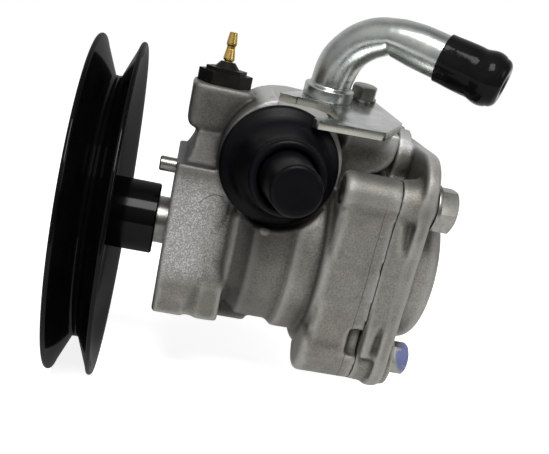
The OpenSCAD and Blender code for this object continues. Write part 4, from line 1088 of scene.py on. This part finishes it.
# %% Flange plate
plate_points = flange_at + plate_flat[:, :1] * plate_u + plate_flat[:, 1:] * plate_v
mesh = bpy.data.meshes.new("suction_flange_plate")
mesh.from_pydata((plate_points * MM).tolist(), plate_edges.tolist(), [])
bm = bmesh.new()
bm.from_mesh(mesh)
bmesh.ops.triangle_fill(bm, edges=bm.edges, use_beauty=True, normal=plate_normal.tolist())
bmesh.ops.recalc_face_normals(bm, faces=bm.faces)
if bm.faces[0].normal.z < 0:
    bmesh.ops.reverse_faces(bm, faces=bm.faces)
bm.to_mesh(mesh)
bm.free()
holder = linked("plate", mesh)
thick = holder.modifiers.new("sheet", "SOLIDIFY")
thick.thickness, thick.offset = plate_t * MM, -1.0
rolled = holder.modifiers.new("edges", "BEVEL")
rolled.width, rolled.segments, rolled.limit_method = 0.5 * MM, 3, "ANGLE"
mesh = applied(holder)
tidy_mesh(mesh, 50)
add_piece("suction_flange_plate", mesh, "zinc_steel", "housing", ["suction_flange"], look="zinc_plate")

# %% [markdown]
# The bolts could be drawn anew, but their CAD shape is right except for its knife edges, which no forged hexagon has.
# So a copy is merged and gets a fine Bevel. The heads of the lower pair stand out a little further than in the CAD
# solids, so their ends are moved.

# %% Bolts
head_x = 104.5
bolt_looks = {"upper_cover_bolts": (0.5, 0.0), "lower_cover_bolts": (0.4, 1.8), "flange_bolt": (0.35, 0.0)}
for node, (bevel_mm, longer_mm) in bolt_looks.items():
    holder = merged_copy(node)
    bolt_points, _ = read_points(holder.data)
    bolt_points[:, 0] += np.where(bolt_points[:, 0] > head_x * MM, longer_mm * MM, 0.0)
    holder.data.vertices.foreach_set("co", bolt_points.ravel())
    rolled = holder.modifiers.new("edges", "BEVEL")
    rolled.width, rolled.segments = bevel_mm * MM, 2
    rolled.limit_method, rolled.angle_limit = "ANGLE", math.radians(40)
    mesh = applied(holder)
    tidy_mesh(mesh, 40)
    add_piece(node + "_forged", mesh, slot_of[node], "housing", [node], look="bolt_zinc")

# %% [markdown]
# The studio floor is wide and pale. To the camera it has to be as white as the background and still keep the pump's
# shadow. A brighter lamp would wash the pump out. So the floor's own matt shader stays, and a glow is added to it for
# rays that come from the camera, and half of it for mirror images. Diffuse light on the pump doesn't see the glow.


# %% Floor
def shown(tree, path, mirrored):
    """1 for rays that come straight from the camera, else the value that a mirror image is given."""
    straight = math_of(tree, "MAXIMUM", path.outputs["Is Camera Ray"], path.outputs["Is Transmission Ray"])
    return math_of(tree, "MAXIMUM", mirrored, straight)


lowest = cad_box[0][2]
bpy.ops.mesh.primitive_circle_add(vertices=96, radius=0.75, fill_type="NGON", location=(0.03, 0.38, lowest - 0.0005))
floor = bpy.context.active_object
floor.name = "floor"
mat, tree, shader = new_material("studio_floor")
shader.inputs["Base Color"].default_value = (0.9, 0.9, 0.9, 1.0)
shader.inputs["Roughness"].default_value = 0.9
shader.inputs["Specular IOR Level"].default_value = 0.1
floor.data.materials.append(mat)
path = add(tree, "ShaderNodeLightPath")
glow = add(tree, "ShaderNodeEmission", Strength=0.86)
glowing = add(tree, "ShaderNodeAddShader")
chosen = add(tree, "ShaderNodeMixShader")
join(tree, shader.outputs[0], glowing.inputs[0])
join(tree, glow.outputs[0], glowing.inputs[1])
join(tree, shown(tree, path, product(tree, path.outputs["Is Glossy Ray"], 0.5)), chosen.inputs[0])
join(tree, shader.outputs[0], chosen.inputs[1])
join(tree, glowing.outputs[0], chosen.inputs[2])
join(tree, chosen.outputs[0], tree.nodes["Material Output"].inputs["Surface"])
print("floor at", round(lowest, 4))

# %% [markdown]
# The world is white to the camera and dim as a light. Glossy pieces mirror a pale wall behind the pump and a soft
# window up on the left, which gives the black parts their highlights.

# %% World
world = bpy.data.worlds.new("studio")
bpy.context.scene.world = world
world.use_nodes = True
tree = world.node_tree
base = tree.nodes["Background"]
base.inputs["Color"].default_value = (1.0, 1.0, 1.0, 1.0)
path, sky = add(tree, "ShaderNodeLightPath"), add(tree, "ShaderNodeTexCoord")
heading_of = add(tree, "ShaderNodeSeparateXYZ")
join(tree, sky.outputs["Generated"], heading_of.inputs[0])
wall = scaled(tree, heading_of.outputs["Y"], -0.1, 0.9, 0.0, 1.0, interpolation_type="SMOOTHSTEP")
window = add(tree, "ShaderNodeVectorMath", operation="DOT_PRODUCT")
window.inputs[1].default_value = (-0.6, -0.5, 0.62)
join(tree, sky.outputs["Generated"], window.inputs[0])
glossy = path.outputs["Is Glossy Ray"]
mirrored = math_of(tree, "MAXIMUM", product(tree, glossy, 0.8, wall),
                   product(tree, glossy, scaled(tree, window.outputs["Value"], 0.4, 0.92, 0.0, 0.75)))
join(tree, scaled(tree, shown(tree, path, mirrored), 0.0, 1.0, 0.12, 1.0), base.inputs["Strength"])
print("world:", world.name)

# %% [markdown]
# Two square lamps light the pump: a large one above and in front, whose size makes the shadow soft, and a weaker one
# on the right that opens up the cover's side.


# %% Lamps
def soft_lamp(name, place_at, aim_at, size, power):
    """Adds a square area lamp that faces a point."""
    lamp = bpy.data.lights.new(name, "AREA")
    lamp.shape = "SQUARE"
    lamp.size = size
    lamp.energy = power
    beam = np.array(aim_at) - np.array(place_at)
    beam = beam / np.linalg.norm(beam)
    side = np.cross(beam, [0.0, 0.0, 1.0])
    side = side / np.linalg.norm(side)
    stand(linked(name, lamp), side, np.cross(side, beam), -beam, place_at)
    print("lamp:", name, power, "W")


soft_lamp("key", (0.0, -0.55, 0.72), (0.03, 0.0, 0.0), 0.42, 8.6)
soft_lamp("fill", (0.75, -0.45, 0.4), (0.04, 0.0, 0.0), 0.35, 1.4)
